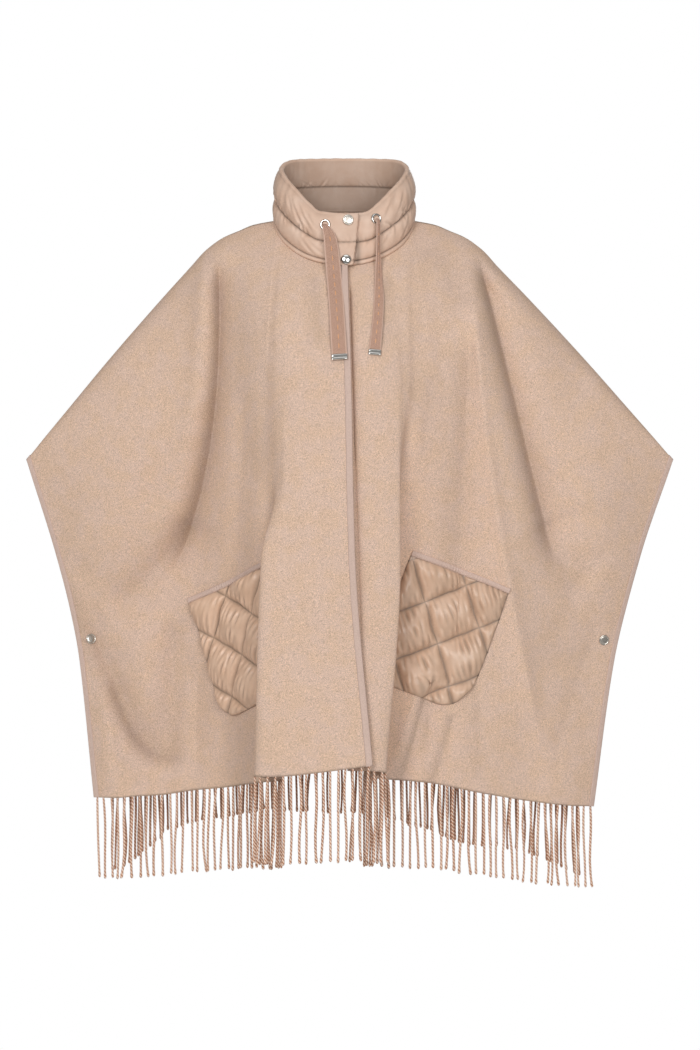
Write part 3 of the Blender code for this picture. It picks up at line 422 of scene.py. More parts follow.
wool = makeWool("heathered wool flannel", woolLook)
nylon = makeNylon("satin down-proof nylon", nylonLook)
collarNylon = makeNylon("satin down-proof nylon, pinker with painted sheen", collarNylonLook)
tape = makeTape("grosgrain binding tape", tapeLook)
twill = makeTwill("herringbone twill tape", twillLook)
yarn = makeYarn("two-ply wool yarn", yarnLook)
nickel = makeNickel("bright nickel plate", "#D9D8D4", 0.16, 3.0)
dullNickel = makeNickel("satin nickel plate", "#CFC9C0", 0.30, 1.2)
thread = makeThread("polyester sewing thread", "#E5AC7C")
print("materials made")


# the camera stands 4.5 m in front of the cape
view = {"place": (4.35, -4500.0, -428.0), "imageHeight": 1050, "mmPerPixel": 1.45}


def addCamera():
    data = bpy.data.cameras.new("camera")
    half = view["imageHeight"] * view["mmPerPixel"] / 2
    data.angle = 2 * math.atan(half / -view["place"][1])
    data.clip_start, data.clip_end = 0.1, 50.0
    camera = bpy.data.objects.new("camera", data)
    camera.location = [v * mm for v in view["place"]]
    camera.rotation_euler = (math.pi / 2, 0, 0)
    bpy.context.scene.collection.objects.link(camera)
    bpy.context.scene.camera = camera


addCamera()


# drawcords: flat twill tape that comes out of the eyelets pleated and opens out
cords = {
    "thickness": 1.5, "fullWidth": 22.0, "pleat": 1.5, "pleats": 1.5, "steps": 150, "across": 15,
    "turn": {"right": 0.25, "left": 0.9}, "levelFrom": 0.75, "ripple": 0.25, "rippleMm": 9.0,
    "stitch": {"length": 7.5, "gap": 6.5, "width": 1.3, "start": 22.0, "lift": 0.1, "dip": 0.5, "rise": 0.75},
    # down the tip's height, as shares of it, and how much it is drawn in there
    "tip": {
        "height": 8.0, "thickness": 3.0, "margin": 0.5, "gap": 0.3, "sides": 32,
        "power": (0.35, 0.5), "draw": (0.6, 0.75),
        "down": (0.0, 0.03125, 0.125, 0.3, 0.5, 0.7, 0.875, 0.96875, 1.0),
        "shrink": (1.1, 0.35, 0.0, 0.3, 0.42, 0.3, 0.0, 0.35, 1.1),
    },
    # the route from the eyelet down: x, y, z and the width of the tape there
    "routes": {
        "right": (
            (-32.0, -83.4, -0.6, 7.0), (-30.6, -88.6, -3.0, 9.0), (-28.4, -90.4, -9.0, 13.0),
            (-24.6, -90.6, -18.0, 18.0), (-22.4, -90.6, -32.0, 20.6), (-20.0, -92.0, -56.0, 21.6),
            (-18.0, -101.5, -80.0, 22.0), (-16.0, -113.5, -102.0, 22.0), (-13.8, -129.0, -132.0, 22.0),
            (-12.0, -142.4, -164.0, 22.0), (-10.5, -149.0, -188.0, 22.0),
        ),
        "left": (
            (44.4, -71.9, 8.0, 6.0), (44.4, -77.2, 6.0, 6.5), (44.6, -79.2, -3.0, 7.0),
            (44.6, -79.0, -18.0, 7.5), (44.6, -79.4, -38.0, 8.0), (45.0, -83.5, -62.0, 10.0),
            (45.3, -95.0, -82.0, 12.0), (45.4, -106.5, -102.0, 14.0), (44.4, -119.0, -128.0, 15.0),
            (41.5, -131.6, -160.0, 16.0), (39.5, -137.4, -181.0, 17.0),
        ),
    },
}


def cordFrame(which):
    # the route as a smooth curve, with the tape's across and outward directions along it;
    # the across direction starts turned about the route and comes level by three quarters
    route = np.array(cords["routes"][which])
    places = np.linspace(0, 1, cords["steps"])
    run = runAlong(route[:, :3])
    path = monotone(run / run[-1], route, places)
    middle, width = path[:, :3], path[:, 3]
    forward = unit(np.gradient(middle, axis=0))
    twist = cords["turn"][which] * smoothStep(1 - places / cords["levelFrom"])
    flat = np.stack([np.cos(twist), np.sin(twist), np.zeros_like(twist)], axis=1)
    flat = unit(flat - forward * (flat * forward).sum(axis=1, keepdims=True))
    return middle, width, forward, flat, np.cross(forward, flat)


def makeDrawcord(which):
    # a loop at each step: across the front side, then back across the rear side; where the tape
    # is narrow its cloth stands in pleats, |sin| waves whose height is what the width lacks
    middle, width, forward, flat, face = cordFrame(which)
    across = np.linspace(-1, 1, cords["across"])
    lack = np.clip(1 - width / cords["fullWidth"], 0, 1)[:, None]
    pleat = cords["pleat"] * lack * (1 - np.abs(np.sin(cords["pleats"] * math.pi * across)))
    thick = cords["thickness"] / 2 * (1 - np.abs(across) ** 6) ** 0.5
    length = runAlong(middle)
    side = 1 if face[-1, 1] < 0 else -1
    ripple = cords["ripple"] * np.sin(length / cords["rippleMm"])[:, None] * across
    loops = []
    for sign, order in ((side, 1), (-side, -1)):
        height = side * (pleat + ripple) + sign * thick
        line = (middle[:, None] + (across * width[:, None] / 2)[..., None] * flat[:, None]
                + height[..., None] * face[:, None])
        loops.append(line[:, ::order])
    spread = np.concatenate([across, across[::-1]]) * cords["fullWidth"] / 2
    uv = closedMap(spread, length[:, None])
    piece = addTubes(f"drawcord_tape_{which}", np.concatenate(loops, axis=1), twill, uv)
    place(piece, "cord", f"drawcord_{which}")
    stitches = makeStitches(which, middle, length, flat, side * face, thick.max())
    tip = makeCordTip(which, middle[-1], width[-1], forward[-1], flat[-1], face[-1])


def makeStitches(which, middle, length, flat, outward, lift):
    # each stitch: a thread that dips into the tape at both ends, a half ellipse along its length
    look = cords["stitch"]
    starts = np.arange(look["start"], length[-1] - look["length"] - 3, look["length"] + look["gap"])
    along = np.linspace(0, 1, 7)
    places = starts[:, None] + along * look["length"]
    centre, side, up = (lookAlong(places, length, line) for line in (middle, flat, outward))
    rise = lift + look["lift"] - look["dip"] + look["rise"] * np.sqrt(1 - (2 * along - 1) ** 2)
    angle = circleAngles(6)
    radius = look["width"] / 2
    loops = (centre + rise[:, None] * up)[:, :, None]
    loops = loops + radius * (np.cos(angle)[:, None] * side[:, :, None]
                              + 0.6 * np.sin(angle)[:, None] * up[:, :, None])
    return place(addTubes(f"drawcord_stitches_{which}", loops, thread), "cord")


def makeCordTip(which, end, width, forward, flat, face):
    # a folded metal clamp: rounded rectangles, cosine and sine to a power below one, small at
    # both ends and with a waist pressed in
    look = cords["tip"]
    down = np.array(look["down"]) * look["height"]
    shrink = np.array(look["shrink"])
    angle = circleAngles(look["sides"])
    wide, thin = (np.sign(wave) * np.abs(wave) ** power
                  for wave, power in zip((np.cos(angle), np.sin(angle)), look["power"]))
    halfWide = width / 2 + look["margin"] - shrink * look["draw"][0]
    halfThick = look["thickness"] / 2 - shrink * look["draw"][1]
    centre = end + (down[:, None] + look["gap"]) * forward
    loops = (centre[:, None] + (halfWide[:, None] * wide)[..., None] * flat
             + (halfThick[:, None] * thin)[..., None] * face)
    return place(addTubes(f"drawcord_tip_{which}", loops, nickel), "steel", f"cord_tip_{which}")


for which in ("right", "left"):
    makeDrawcord(which)
print("drawcords made")


# the cloth's form: neck ring, shoulder line and section tables
neck = {
    "centreX": -4.0, "halfWidth": 98.0, "halfDepth": 76.0,
    "sideZ": 15.0, "backRise": 16.0, "frontDrop": 74.5, "turn": 0.14,
    "rimHalfWidth": 92.0, "rimHalfDepth": 72.0,
    # how far back round the ring, from -1 in front to 1 behind, and the rim's height there
    "rimAway": (-1.0, -0.94, -0.85, -0.7, -0.5, -0.2, 0.0, 0.3, 0.57, 1.0),
    "rimZ": (13.3, 15.0, 27.6, 46.0, 62.0, 78.0, 85.0, 95.0, 101.5, 107.0),
    "lapLift": (5.6, -3.8), "lapFade": ((-5.0, 55.0), (305.0, 350.0)), "drop": 2.4,
}
cloth = {
    "wall": 2.6, "shoulderShare": 0.28, "lobeShare": 0.45, "middleShare": 0.60,
    "frontSlope": 45.0, "backSlope": 20.0, "slopeReach": 110.0,
    "narrowDepth": 60.0, "squarest": 0.35, "ridgeGap": 0.18,
    "foldStart": 0.012, "foldBlend": 0.06, "foldEdge": 0.08,
    "snapZ": -594.0, "snapPinch": 4.0, "snapReach": 45.0, "snapShare": 0.05,
    "ridgeShift": (220.0, 467.0), "hemShade": 0.35,
    # unevenness: height, how much z counts, wavelength and seed
    "uneven": ((1.3, 0.7, 150.0, 11), (0.4, 1.0, 52.0, 23)),
}
ridge = {
    "half": (98, 131, 153, 174, 198, 222, 265, 343, 417, 467),
    "z": (12.4, 6, -3, -12, -29, -55, -101, -188, -275, -334),
}
# share across the cloth, half width at the top, then out and deep at the chest, the middle
# and the hem, and the hem's height
sectionNames = (
    "share", "top", "chestOut", "chestDeep", "midOut", "midDeep", "hemOut", "hemDeep", "hemZ")
frontRightRows = (
    (0.000, -4, -6, 150, -11, 172, -35, 186, -763),
    (0.100, 34, 36, 152, 40, 178, 30, 192, -771),
    (0.190, 58, 68, 148, 84, 177, 86, 194, -777),
    (0.250, 72, 84, 143, 110, 172, 117, 190, -778),
    (0.285, 82, 92, 139, 119, 163, 128, 180, -778),
    (0.320, 90, 100, 134, 108, 153, 112, 170, -781),
    (0.360, 93, 106, 129, 92, 148, 92, 161, -784),
    (0.400, 98, 113, 123, 98, 139, 96, 150, -787),
    (0.460, 124, 130, 114, 119, 124, 122, 128, -791),
    (0.550, 158, 162, 94, 166, 72, 170, 72, -802),
    (0.640, 205, 208, 70, 224, 34, 230, 35, -811),
    (0.710, 262, 254, 62, 262, 24, 266, 26, -817),
    (0.800, 320, 303, 56, 302, 24, 300, 24, -819),
    (0.900, 400, 362, 38, 346, 20, 335, 19, -822),
    (1.000, 467, 420, 8, 386, 7, 365.4, 7, -822),
)
frontLeftRows = (
    (0.000, -22, -20, 140, -14, 160, 2, 172, -771),
    (0.060, 8, 10, 142, 16, 163, 24, 175, -771),
    (0.120, 36, 44, 140, 52, 162, 42, 173, -772),
    (0.165, 60, 72, 134, 74, 152, 54, 163, -775),
    (0.205, 76, 79, 129, 66, 136, 42, 147, -779),
    (0.250, 88, 87, 124, 52, 110, 24, 118, -783),
    (0.290, 93, 95, 118, 60, 97, 31, 103, -786),
    (0.350, 98, 117, 110, 84, 90, 58, 97, -789),
    (0.470, 150, 158, 98, 138, 84, 112, 91, -794),
    (0.600, 205, 206, 82, 202, 74, 190, 77, -810),
    (0.760, 305, 288, 68, 275, 50, 262, 50, -824),
    (0.900, 400, 366, 42, 344, 26, 325, 24, -833),
    (1.000, 467, 423, 8, 384, 7, 356, 7, -835),
)
# the right front's places a little below the chest: share, out and deep
lobeRows = (
    (0.000, -8, 163), (0.100, 38, 167), (0.190, 72, 165), (0.250, 87, 160), (0.285, 94, 152),
    (0.320, 100, 143), (0.360, 106, 134.5), (0.400, 113, 125.5), (0.460, 126, 113), (0.550, 165, 80),
    (0.640, 217, 50), (0.710, 259, 41), (0.800, 304, 38), (0.900, 353, 28), (1.000, 399, 7.3),
)
# the back's lines run from the wearer's right edge to the left one, and out is along +X
backRows = (
    (0.000, -467, -420, 8, -386, 7, -365.4, 7, -822),
    (0.070, -385, -350, 42, -330, 34, -322, 40, -808),
    (0.150, -290, -272, 72, -262, 94, -262, 116, -764),
    (0.240, -205, -200, 92, -196, 78, -192, 74, -744),
    (0.330, -98, -126, 116, -126, 132, -122, 152, -734),
    (0.425, -58, -58, 126, -56, 124, -56, 124, -730),
    (0.500, 0, 0, 128, 4, 138, 6, 146, -732),
    (0.575, 58, 58, 126, 62, 118, 66, 112, -742),
    (0.670, 98, 126, 114, 126, 128, 124, 144, -764),
    (0.760, 205, 198, 94, 190, 84, 184, 76, -783),
    (0.850, 290, 272, 70, 258, 84, 250, 102, -792),
    (0.930, 385, 352, 42, 332, 38, 318, 42, -813),
    (1.000, 467, 423, 8, 384, 7, 356, 7, -835),
)
# a fold runs as a curve through three places seen from the front; width and depth (sunk if
# negative), and the height share of a ridge beside it, to the left seen from the front, or to
# the right if negative; the fold is steeper on its ridge's side
# and the painted shade along it: darker where positive, painted light where negative
foldNames = ("x0", "z0", "x1", "z1", "x2", "z2", "width", "depth", "ridge", "shade")
frontFolds = (
    (-187, -25, -163, -330, -262, -520, 13, -27, 0.22, 0.32),
    (186, -25, 250, -290, 304, -505, 12, -27, 0.16, 0.25),
    (-425, -470, -345, -640, -258, -792, 22, -20, 0.25, 0.18),
    (180, -100, 201, -425, 290, -790, 19, 14, 0, -0.03),
)
backFolds = (
    (-205, -40, -215, -300, -330, -540, 34, 13, 0, 0),
    (205, -40, 215, -300, 330, -540, 34, 13, 0, 0),
)
# smaller creases, which only the cloth's surface has; rows with no depth are only painted
# shade, or painted light where their shade is negative
frontCreases = (
    (-345, -640, -300, -800, -226, -750, 11, -6.5, 0.4, 0.17),
    (-214, -640, -220, -720, -214, -815, 8, -2.8, 0.4),
    (-262, -560, -238, -650, -250, -760, 22, -3.2, 0.3),
    (176, -150, 164, -400, 152, -640, 23, -10.0, 0, 0.10),
    (-150, -130, -156, -330, -150, -560, 22, -2.4, 0.4),
    (-80, -260, -84, -520, -82, -790, 16, -1.6, 0.5),
    (-26, -330, -28, -560, -34, -790, 13, -1.3, 0.5),
    (-382, -430, -344, -520, -300, -590, 22, -2.6, 0.4),
    (-342, -700, -330, -760, -318, -828, 16, -2.0, 0.4),
    (-240, -95, -300, -190, -370, -300, 26, -2.2, 0.4),
    (118, -640, 98, -725, 72, -808, 6, -4.2, 0.5, 0.17),
    (112, -640, 122, -700, 108, -770, 9, -3.8, 0.5, 0.10),
    (152, -690, 140, -750, 116, -812, 8, -3.8, 0.4, 0.13),
    (182, -640, 192, -720, 190, -806, 14, -2.6, 0.4, 0.05),
    (-250, -560, -254, -680, -246, -780, 22, -5.0, 0.3, 0.10),
    (92, -230, 90, -450, 84, -770, 15, 0, 0, -0.2),
    (-44, -66, -40, -120, -28, -190, 15, -2.0, 0.3, 0.10),
    (62, -66, 54, -110, 50, -190, 14, -2.0, 0.3, 0.10),
    (-106, -330, -122, -500, -132, -740, 17, 0, 0, -0.12),
    (-154, -230, -150, -370, -160, -520, 17, 0, 0, -0.10),
    (-180, -690, -178, -750, -180, -840, 18, 0, 0, -0.08),
    (118, -20, 150, -66, 190, -120, 26, 0, 0, 0.08),
    (298, -620, 296, -730, 290, -860, 26, 0, 0, -0.08),
    (350, -180, 345, -330, 340, -480, 34, 0, 0, -0.05),
    (-228, -410, -258, -490, -352, -562, 26, -8.0, 0.3, 0.08),
    (276, -420, 300, -480, 356, -522, 24, -7.0, 0.3, 0.08),
    (372, -560, 330, -640, 300, -770, 22, -4.6, 0.4),
    (384, -600, 340, -600, 290, -560, 20, -3.0, 0.4),
    (306, -460, 318, -540, 352, -600, 22, -3.4, 0.4),
    (128, -120, 150, -330, 146, -560, 24, -2.8, 0.4),
    (250, -95, 310, -190, 378, -300, 26, -2.2, 0.4),
    (300, -720, 306, -770, 300, -830, 15, -2.0, 0.4),
    (-44, -62, -62, -130, -66, -240, 15, -2.6, 0.3),
    (62, -70, 74, -130, 78, -230, 15, -2.8, 0.3),
)
# the left front dips beside the edge that lies over it
leftCreases = (
    (3, -50, 11, -330, 22, -650, 5.5, -8.0, 0),
)
backCreases = (
    (-60, -60, -86, -300, -70, -720, 26, -3.0, 0.4),
    (70, -60, 92, -300, 84, -740, 26, -2.8, 0.4),
    (-300, -330, -282, -500, -240, -750, 26, -4.0, 0.4),
    (310, -340, 286, -520, 232, -770, 26, -4.0, 0.4),
    (-372, -560, -340, -650, -316, -790, 20, -3.4, 0.4),
    (376, -560, 342, -660, 300, -800, 20, -3.4, 0.4),
    (-160, -520, -166, -640, -158, -745, 14, -2.4, 0.4),
    (160, -540, 152, -650, 158, -770, 14, -2.4, 0.4),
    (20, -420, 34, -560, 30, -725, 18, -2.4, 0.4),
)


def ringPoint(turn, lift=0.0, rim=False):
    # an ellipse seen from above, clockwise from the centre front; its height follows how far
    # back the point is: straight pieces with a soft bend on the neck, a table on the rim
    halfWidth = neck["rimHalfWidth"] if rim else neck["halfWidth"]
    halfDepth = neck["rimHalfDepth"] if rim else neck["halfDepth"]
    away = -np.cos(turn)
    x = neck["centreX"] - (halfWidth + lift) * np.sin(turn)
    y = (halfDepth + lift) * away
    if rim:
        z = monotone(neck["rimAway"], neck["rimZ"], away)
    else:
        even = (neck["backRise"] + neck["frontDrop"]) / 2
        bend = (neck["backRise"] - neck["frontDrop"]) / 2
        z = neck["sideZ"] + even * away + bend * (np.hypot(away, neck["turn"]) - neck["turn"])
    return np.stack([x, y, z], axis=-1)


def lapLift(turn):
    # the lapped ends stand off the ring, one outwards and one inwards
    degrees = np.degrees(turn)
    (start, end), (startLeft, endLeft) = neck["lapFade"]
    over = neck["lapLift"][0] * (1 - smoothStep((degrees - start) / (end - start)))
    return over + neck["lapLift"][1] * smoothStep((degrees - startLeft) / (endLeft - startLeft))


def topEdge(half, side, facing):
    # a line starts on the neck ring while it is narrower than the neck, else on the shoulder line
    turn = np.arcsin(np.clip(half / neck["halfWidth"], -1.0, 1.0))
    if facing > 0:
        turn = math.pi - turn
    if side == wearerLeft:
        turn = 2 * math.pi - turn
    onRing = ringPoint(turn, lapLift(turn) if facing < 0 else 0.0)
    onRing[..., 2] -= neck["drop"]
    start, end = cloth["ridgeShift"]
    shift = neck["centreX"] * (1 - 2 * np.clip((half - start) / (end - start), 0, 1))
    onRidge = np.stack([
        side * half + shift,
        np.full(half.shape, facing * cloth["ridgeGap"]),
        monotone(ridge["half"], ridge["z"], half),
    ], axis=-1)
    return np.where((np.abs(half) < neck["halfWidth"])[..., None], onRing, onRidge)


def besideFold(row, x, z):
    # how far along the fold's curve each place lies, and how far beside it in widths
    along = np.linspace(0.0, 1.0, 49)
    start, bend, end = (1 - along) ** 2, 2 * along * (1 - along), along**2
    curveX = start * row["x0"] + bend * row["x1"] + end * row["x2"]
    curveZ = start * row["z0"] + bend * row["z1"] + end * row["z2"]
    offX, offZ = x[..., None] - curveX, z[..., None] - curveZ
    nearest = (offX**2 + offZ**2).argmin(axis=-1)
    offX = np.take_along_axis(offX, nearest[..., None], -1)[..., 0]
    offZ = np.take_along_axis(offZ, nearest[..., None], -1)[..., 0]
    goX, goZ = np.gradient(curveX)[nearest], np.gradient(curveZ)[nearest]
    step = np.hypot(goX, goZ)
    share = along[nearest] + (offX * goX + offZ * goZ) / step**2 * along[1]
    side = (offX * goZ - offZ * goX) / step / row["width"] / (0.75 + 0.6 * share)
    fade = smoothStep(share / 0.12) * smoothStep((1 - share) / 0.22)
    return side * (np.sign(row["ridge"]) or 1), fade


def foldOffsets(x, z, folds):
    # depth times exp(-d^1.1) for the distance d from each curve in widths, 0.8 of the width on
    # the ridge's side and 2.2 on the other, less the ridge's Gauss bell; both ends fade out
    total = np.zeros_like(x)
    for fold in folds:
        row = dict(zip(foldNames, fold))
        side, fade = besideFold(row, x, z)
        ridge = abs(row["ridge"])
        near = np.abs(side) / np.where(side > 0, 0.8, 2.2) if ridge else np.abs(side)
        profile = np.exp(-((near**2 + 0.01) ** 0.55)) - ridge * bell((side - 2.3) / 1.3)
        total += row["depth"] * fade * profile
    return total


def foldShade(points, folds):
    # painted shade: the deep folds' bottoms and steep sides are painted a little darker, as a
    # bell across each, and rows with a negative shade are painted lighter
    total = np.zeros(points.shape[:2])
    for fold in folds:
        row = dict(zip(foldNames, fold))
        if not row.get("shade"):
            continue
        side, fade = besideFold(row, points[..., 0], points[..., 2])
        total -= row["shade"] * fade * bell((side - 0.35) / 0.85)
    return total


def panelPoints(rows, shares, heights, facing, side=None):
    # the cloth's middle on a grid: above the chest each line is a quarter turn of an ellipse
    # off the shoulder; below, a smooth curve through its chest, middle and hem places
    table = np.array(rows, float)
    column = dict(zip(sectionNames, monotone(table[:, 0], table, np.asarray(shares, float)).T))
    outSign = side or 1
    if side is None:
        right = topEdge(-column["top"], wearerRight, facing)
        left = topEdge(column["top"], wearerLeft, facing)
        top = np.where((column["top"] < 0)[:, None], right, left)
    else:
        top = topEdge(column["top"], side, facing)
    half = np.abs(column["top"])
    if facing < 0:
        evenOut = 1 - smoothStep((half - neck["halfWidth"]) / cloth["slopeReach"])
        startAngle = math.radians(cloth["frontSlope"]) * evenOut
    else:
        insideRing = np.clip(1 - (half / neck["halfWidth"]) ** 2, 0, 1)
        startAngle = math.radians(cloth["backSlope"]) * np.sqrt(insideRing)
    shoulder = cloth["shoulderShare"]
    heights = np.asarray(heights, float)[:, None]
    over = heights < shoulder
    angle = startAngle + (math.pi / 2 - startAngle) * np.minimum(heights / shoulder, 1)
    drop = (np.cos(startAngle) - np.cos(angle)) / np.cos(startAngle)
    swing = (np.sin(angle) - np.sin(startAngle)) / (1 - np.sin(startAngle))
    square = np.clip(column["chestDeep"] / cloth["narrowDepth"], cloth["squarest"], 1)
    swing = np.clip(swing, 0, 1) ** square
    fall = np.where(over, shoulder * drop, heights)

    stations = (0.0, shoulder, cloth["middleShare"], 1.0)
    outs = np.stack([top[:, 0]] + [outSign * column[key] for key in ("chestOut", "midOut", "hemOut")])
    deeps = np.stack([column[key] for key in ("chestDeep", "midDeep", "hemDeep")])
    if side == wearerRight:
        # this front's lobe hangs straight from the chest before it opens out
        stations = (0.0, shoulder, cloth["lobeShare"], cloth["middleShare"], 1.0)
        lobe = np.array(lobeRows)
        low = monotone(lobe[:, 0], lobe[:, 1:], column["share"])
        outs = np.insert(outs, 2, outSign * low[:, 0], axis=0)
        deeps = np.insert(deeps, 1, low[:, 1], axis=0)
    lines = range(outs.shape[1])
    x = np.stack([monotone(stations, outs[:, i], fall[:, i]) for i in lines], axis=1)
    low = np.maximum(fall, shoulder)
    below = np.stack([monotone(stations[1:], deeps[:, i], low[:, i]) for i in lines], axis=1)
    startDeep = facing * top[:, 1]
    deep = np.where(over, startDeep + (column["chestDeep"] - startDeep) * swing, below)
    z = top[:, 2] + (column["hemZ"] - top[:, 2]) * fall

    settle = smoothStep((fall - cloth["foldStart"]) / cloth["foldBlend"])
    edge = 1 - column["share"]
    if side is None:
        edge = np.minimum(column["share"], edge)
    folds = frontFolds + frontCreases if facing < 0 else backFolds + backCreases
    if side == wearerLeft:
        folds = folds + leftCreases
    creases = foldOffsets(x, z, folds)
    # wide, shallow unevenness of cloth that has been worn, then smaller dents
    for height, tall, size, seed in cloth["uneven"]:
        creases += height * softNoise(x, z * tall, size, seed + facing)
    deep = deep + settle * smoothStep(edge / cloth["foldEdge"]) * creases
    level = bell((z - cloth["snapZ"]) / cloth["snapReach"])
    deep = deep - cloth["snapPinch"] * level * bell(edge / cloth["snapShare"])
    return np.stack([x, facing * deep, z], axis=-1)


def gridNormals(points, facing):
    normal = np.cross(np.gradient(points, axis=1), np.gradient(points, axis=0))
    normal = unit(normal)
    return normal if normal[len(normal) // 2, :, 1].mean() * facing > 0 else -normal


def panelNormals(points, facing):
    # along the shoulder line the two panels meet edge to edge, so its normals stand upright
    normal = gridNormals(points, facing)
    onRidge = np.abs(points[0, :, 1]) < 1.0
    normal[0, onRidge, 1] = 0.0
    normal[0] = unit(normal[0])
    return normal


heightSteps = np.concatenate([
    cloth["shoulderShare"] * np.linspace(0, 1, 61)[:-1],
    np.linspace(cloth["shoulderShare"], 1, 150),
])
# columns of the grid, and how closely they stand: shares across the cloth against density
panels = {
    "front_right": {"rows": frontRightRows, "facing": -1, "side": wearerRight, "columns": 220,
                    "dense": ((0.0, 0.25, 0.32, 0.8, 1.0), (0.8, 0.8, 1.6, 1.6, 0.9))},
    "front_left": {"rows": frontLeftRows, "facing": -1, "side": wearerLeft, "columns": 220,
                   "dense": ((0.0, 0.03, 0.05, 0.12, 0.16, 0.7, 1.0), (0.5, 0.5, 3.0, 3.0, 1.0, 1.1, 0.7))},
    "back": {"rows": backRows, "facing": 1, "side": None, "columns": 190,
             "dense": ((0.0, 1.0), (1.0, 1.0))},
}


def makePanel(name, look):
    fine = np.linspace(0, 1, 1000)
    spread = np.cumsum(np.interp(fine, *look["dense"]))
    shares = np.interp(np.linspace(spread[0], spread[-1], look["columns"]), spread, fine)
    points = panelPoints(look["rows"], shares, heightSteps, look["facing"], look["side"])
    normal = panelNormals(points, look["facing"])
    half = cloth["wall"] / 2
    sections = shellSections(points + half * normal, points - half * normal, half)
    # painted shade and painted light along the front folds, and a darker last row at the hem
    shade = foldShade(points, frontFolds + frontCreases if look["side"] else ())
    shade[-1] -= cloth["hemShade"]
    return place(addTubes(f"{name}_cloth", sections, wool, shade=shellShade(shade)), "wool", name)


panelPieces = {name: makePanel(name, look) for name, look in panels.items()}
print("wool panels made")


# binding tape, folded over the cut edges
binding = {
    "front": 8.6, "side": 8.0, "gap": 0.25, "thickness": 0.75,
    # the tape's outer edge wavers as two sines: height, length and phase
    "waver": ((0.176, 4.1, 0.0), (0.16, 9.7, 1.0)),
    # in quarters of its width from the cloth's edge, how much of its thickness it has there, and
    # its degrees round the edge
    "across": ((4, 0.25), (4, 0.9), (3, 1.0), (2, 1.0), (1, 1.0), (0, 1.0)),
    "round": (60, 30, 0, -30, -60),
}


def nearEdge(look, atStart, distances):
    # the cloth's middle and normals at real distances in from an edge: lines close to the edge
    # are measured along each row, then looked up
    shares = np.linspace(0, 0.075 if look["side"] else 0.04, 40)
    if not atStart:
        shares = 1 - shares[::-1]
    points = panelPoints(look["rows"], shares, heightSteps, look["facing"], look["side"])
    fields = np.concatenate([points, panelNormals(points, look["facing"])], axis=-1)
    if not atStart:
        fields = fields[:, ::-1]
    found = np.stack([lookAlong(distances, row, field)
                      for row, field in zip(runAlong(fields[..., :3]), fields)])
    return found[..., :3], unit(found[..., 3:])


def makeEdgeBinding(name, look, atStart, node):
    # the cloth's edge is followed at five distances; a loop runs in from the inner edge of the
    # tape on the outer side, round the cloth's edge, back on the inner side, and again inside
    width = binding["front"] if atStart and look["side"] else binding["side"]
    points, normal = nearEdge(look, atStart, width * np.array([0.0, 0.25, 0.5, 0.75, 1.0]))
    inward = unit(points[:, 1] - points[:, 0])
    gap, thickness = binding["gap"], binding["thickness"]
    slot = cloth["wall"] / 2 + gap
    run = runAlong(points[:, 0])
    waver = sum(high * np.sin(run / far + phase) for high, far, phase in binding["waver"])
    # each corner: its distance's number, how far it lies off the cloth's middle and how far in
    outer = [(k, slot + thickness * full, waver[:, None] if k == 4 else 0.0)
             for k, full in binding["across"]]
    corners = [
        *outer,
        *((0, (slot + thickness) * math.sin(a), -(gap + thickness) * math.cos(a))
          for a in np.radians(binding["round"])),
        *((k, -height, 0.0) for k, height, _ in outer[::-1]),
        (4, -slot, 0.0), (0, -slot, 0.0), (0, 0.0, -gap), (0, slot, 0.0), (4, slot, 0.0),
    ]
    loop = [points[:, k] + height * normal[:, k] + into * inward for k, height, into in corners]
    spread = [k / 4 for k, *_ in corners]
    uv = closedMap(np.array(spread), run[:, None] / tapeLook["ribMm"] * 2 * math.pi)
    return place(addTubes(name, np.stack(loop, axis=1), tape, uv), "tape", node)


bindings = {
    side: [
        makeEdgeBinding(f"front_tape_{side}", panels[f"front_{side}"], True, f"front_binding_{side}"),
        makeEdgeBinding(f"side_tape_front_{side}", panels[f"front_{side}"], False,
                        f"side_binding_front_{side}"),
    ]
    for side in ("right", "left")
}
bindings["back"] = [
    makeEdgeBinding("side_tape_back_right", panels["back"], True, "side_binding_back_right"),
    makeEdgeBinding("side_tape_back_left", panels["back"], False, "side_binding_back_left"),
]
print("edges bound")


# Quilted nylon is blown up by a cloth simulation of a flat sheet held down along its seams,
# far above life size, where the solver's stiffness suits so thin a cloth. Its reliefs are then
# laid over the collar and the pockets.
inflating = {
    "timesLifeSize": 100.0, "frames": 40, "quality": 5, "mass": 0.1, "stiffness": 15.0,
    "shearShare": 0.3, "bending": 5.0, "damping": 5.0, "airDamping": 2.0,
    "mound": 3.0, "moundReach": 8.0,
}


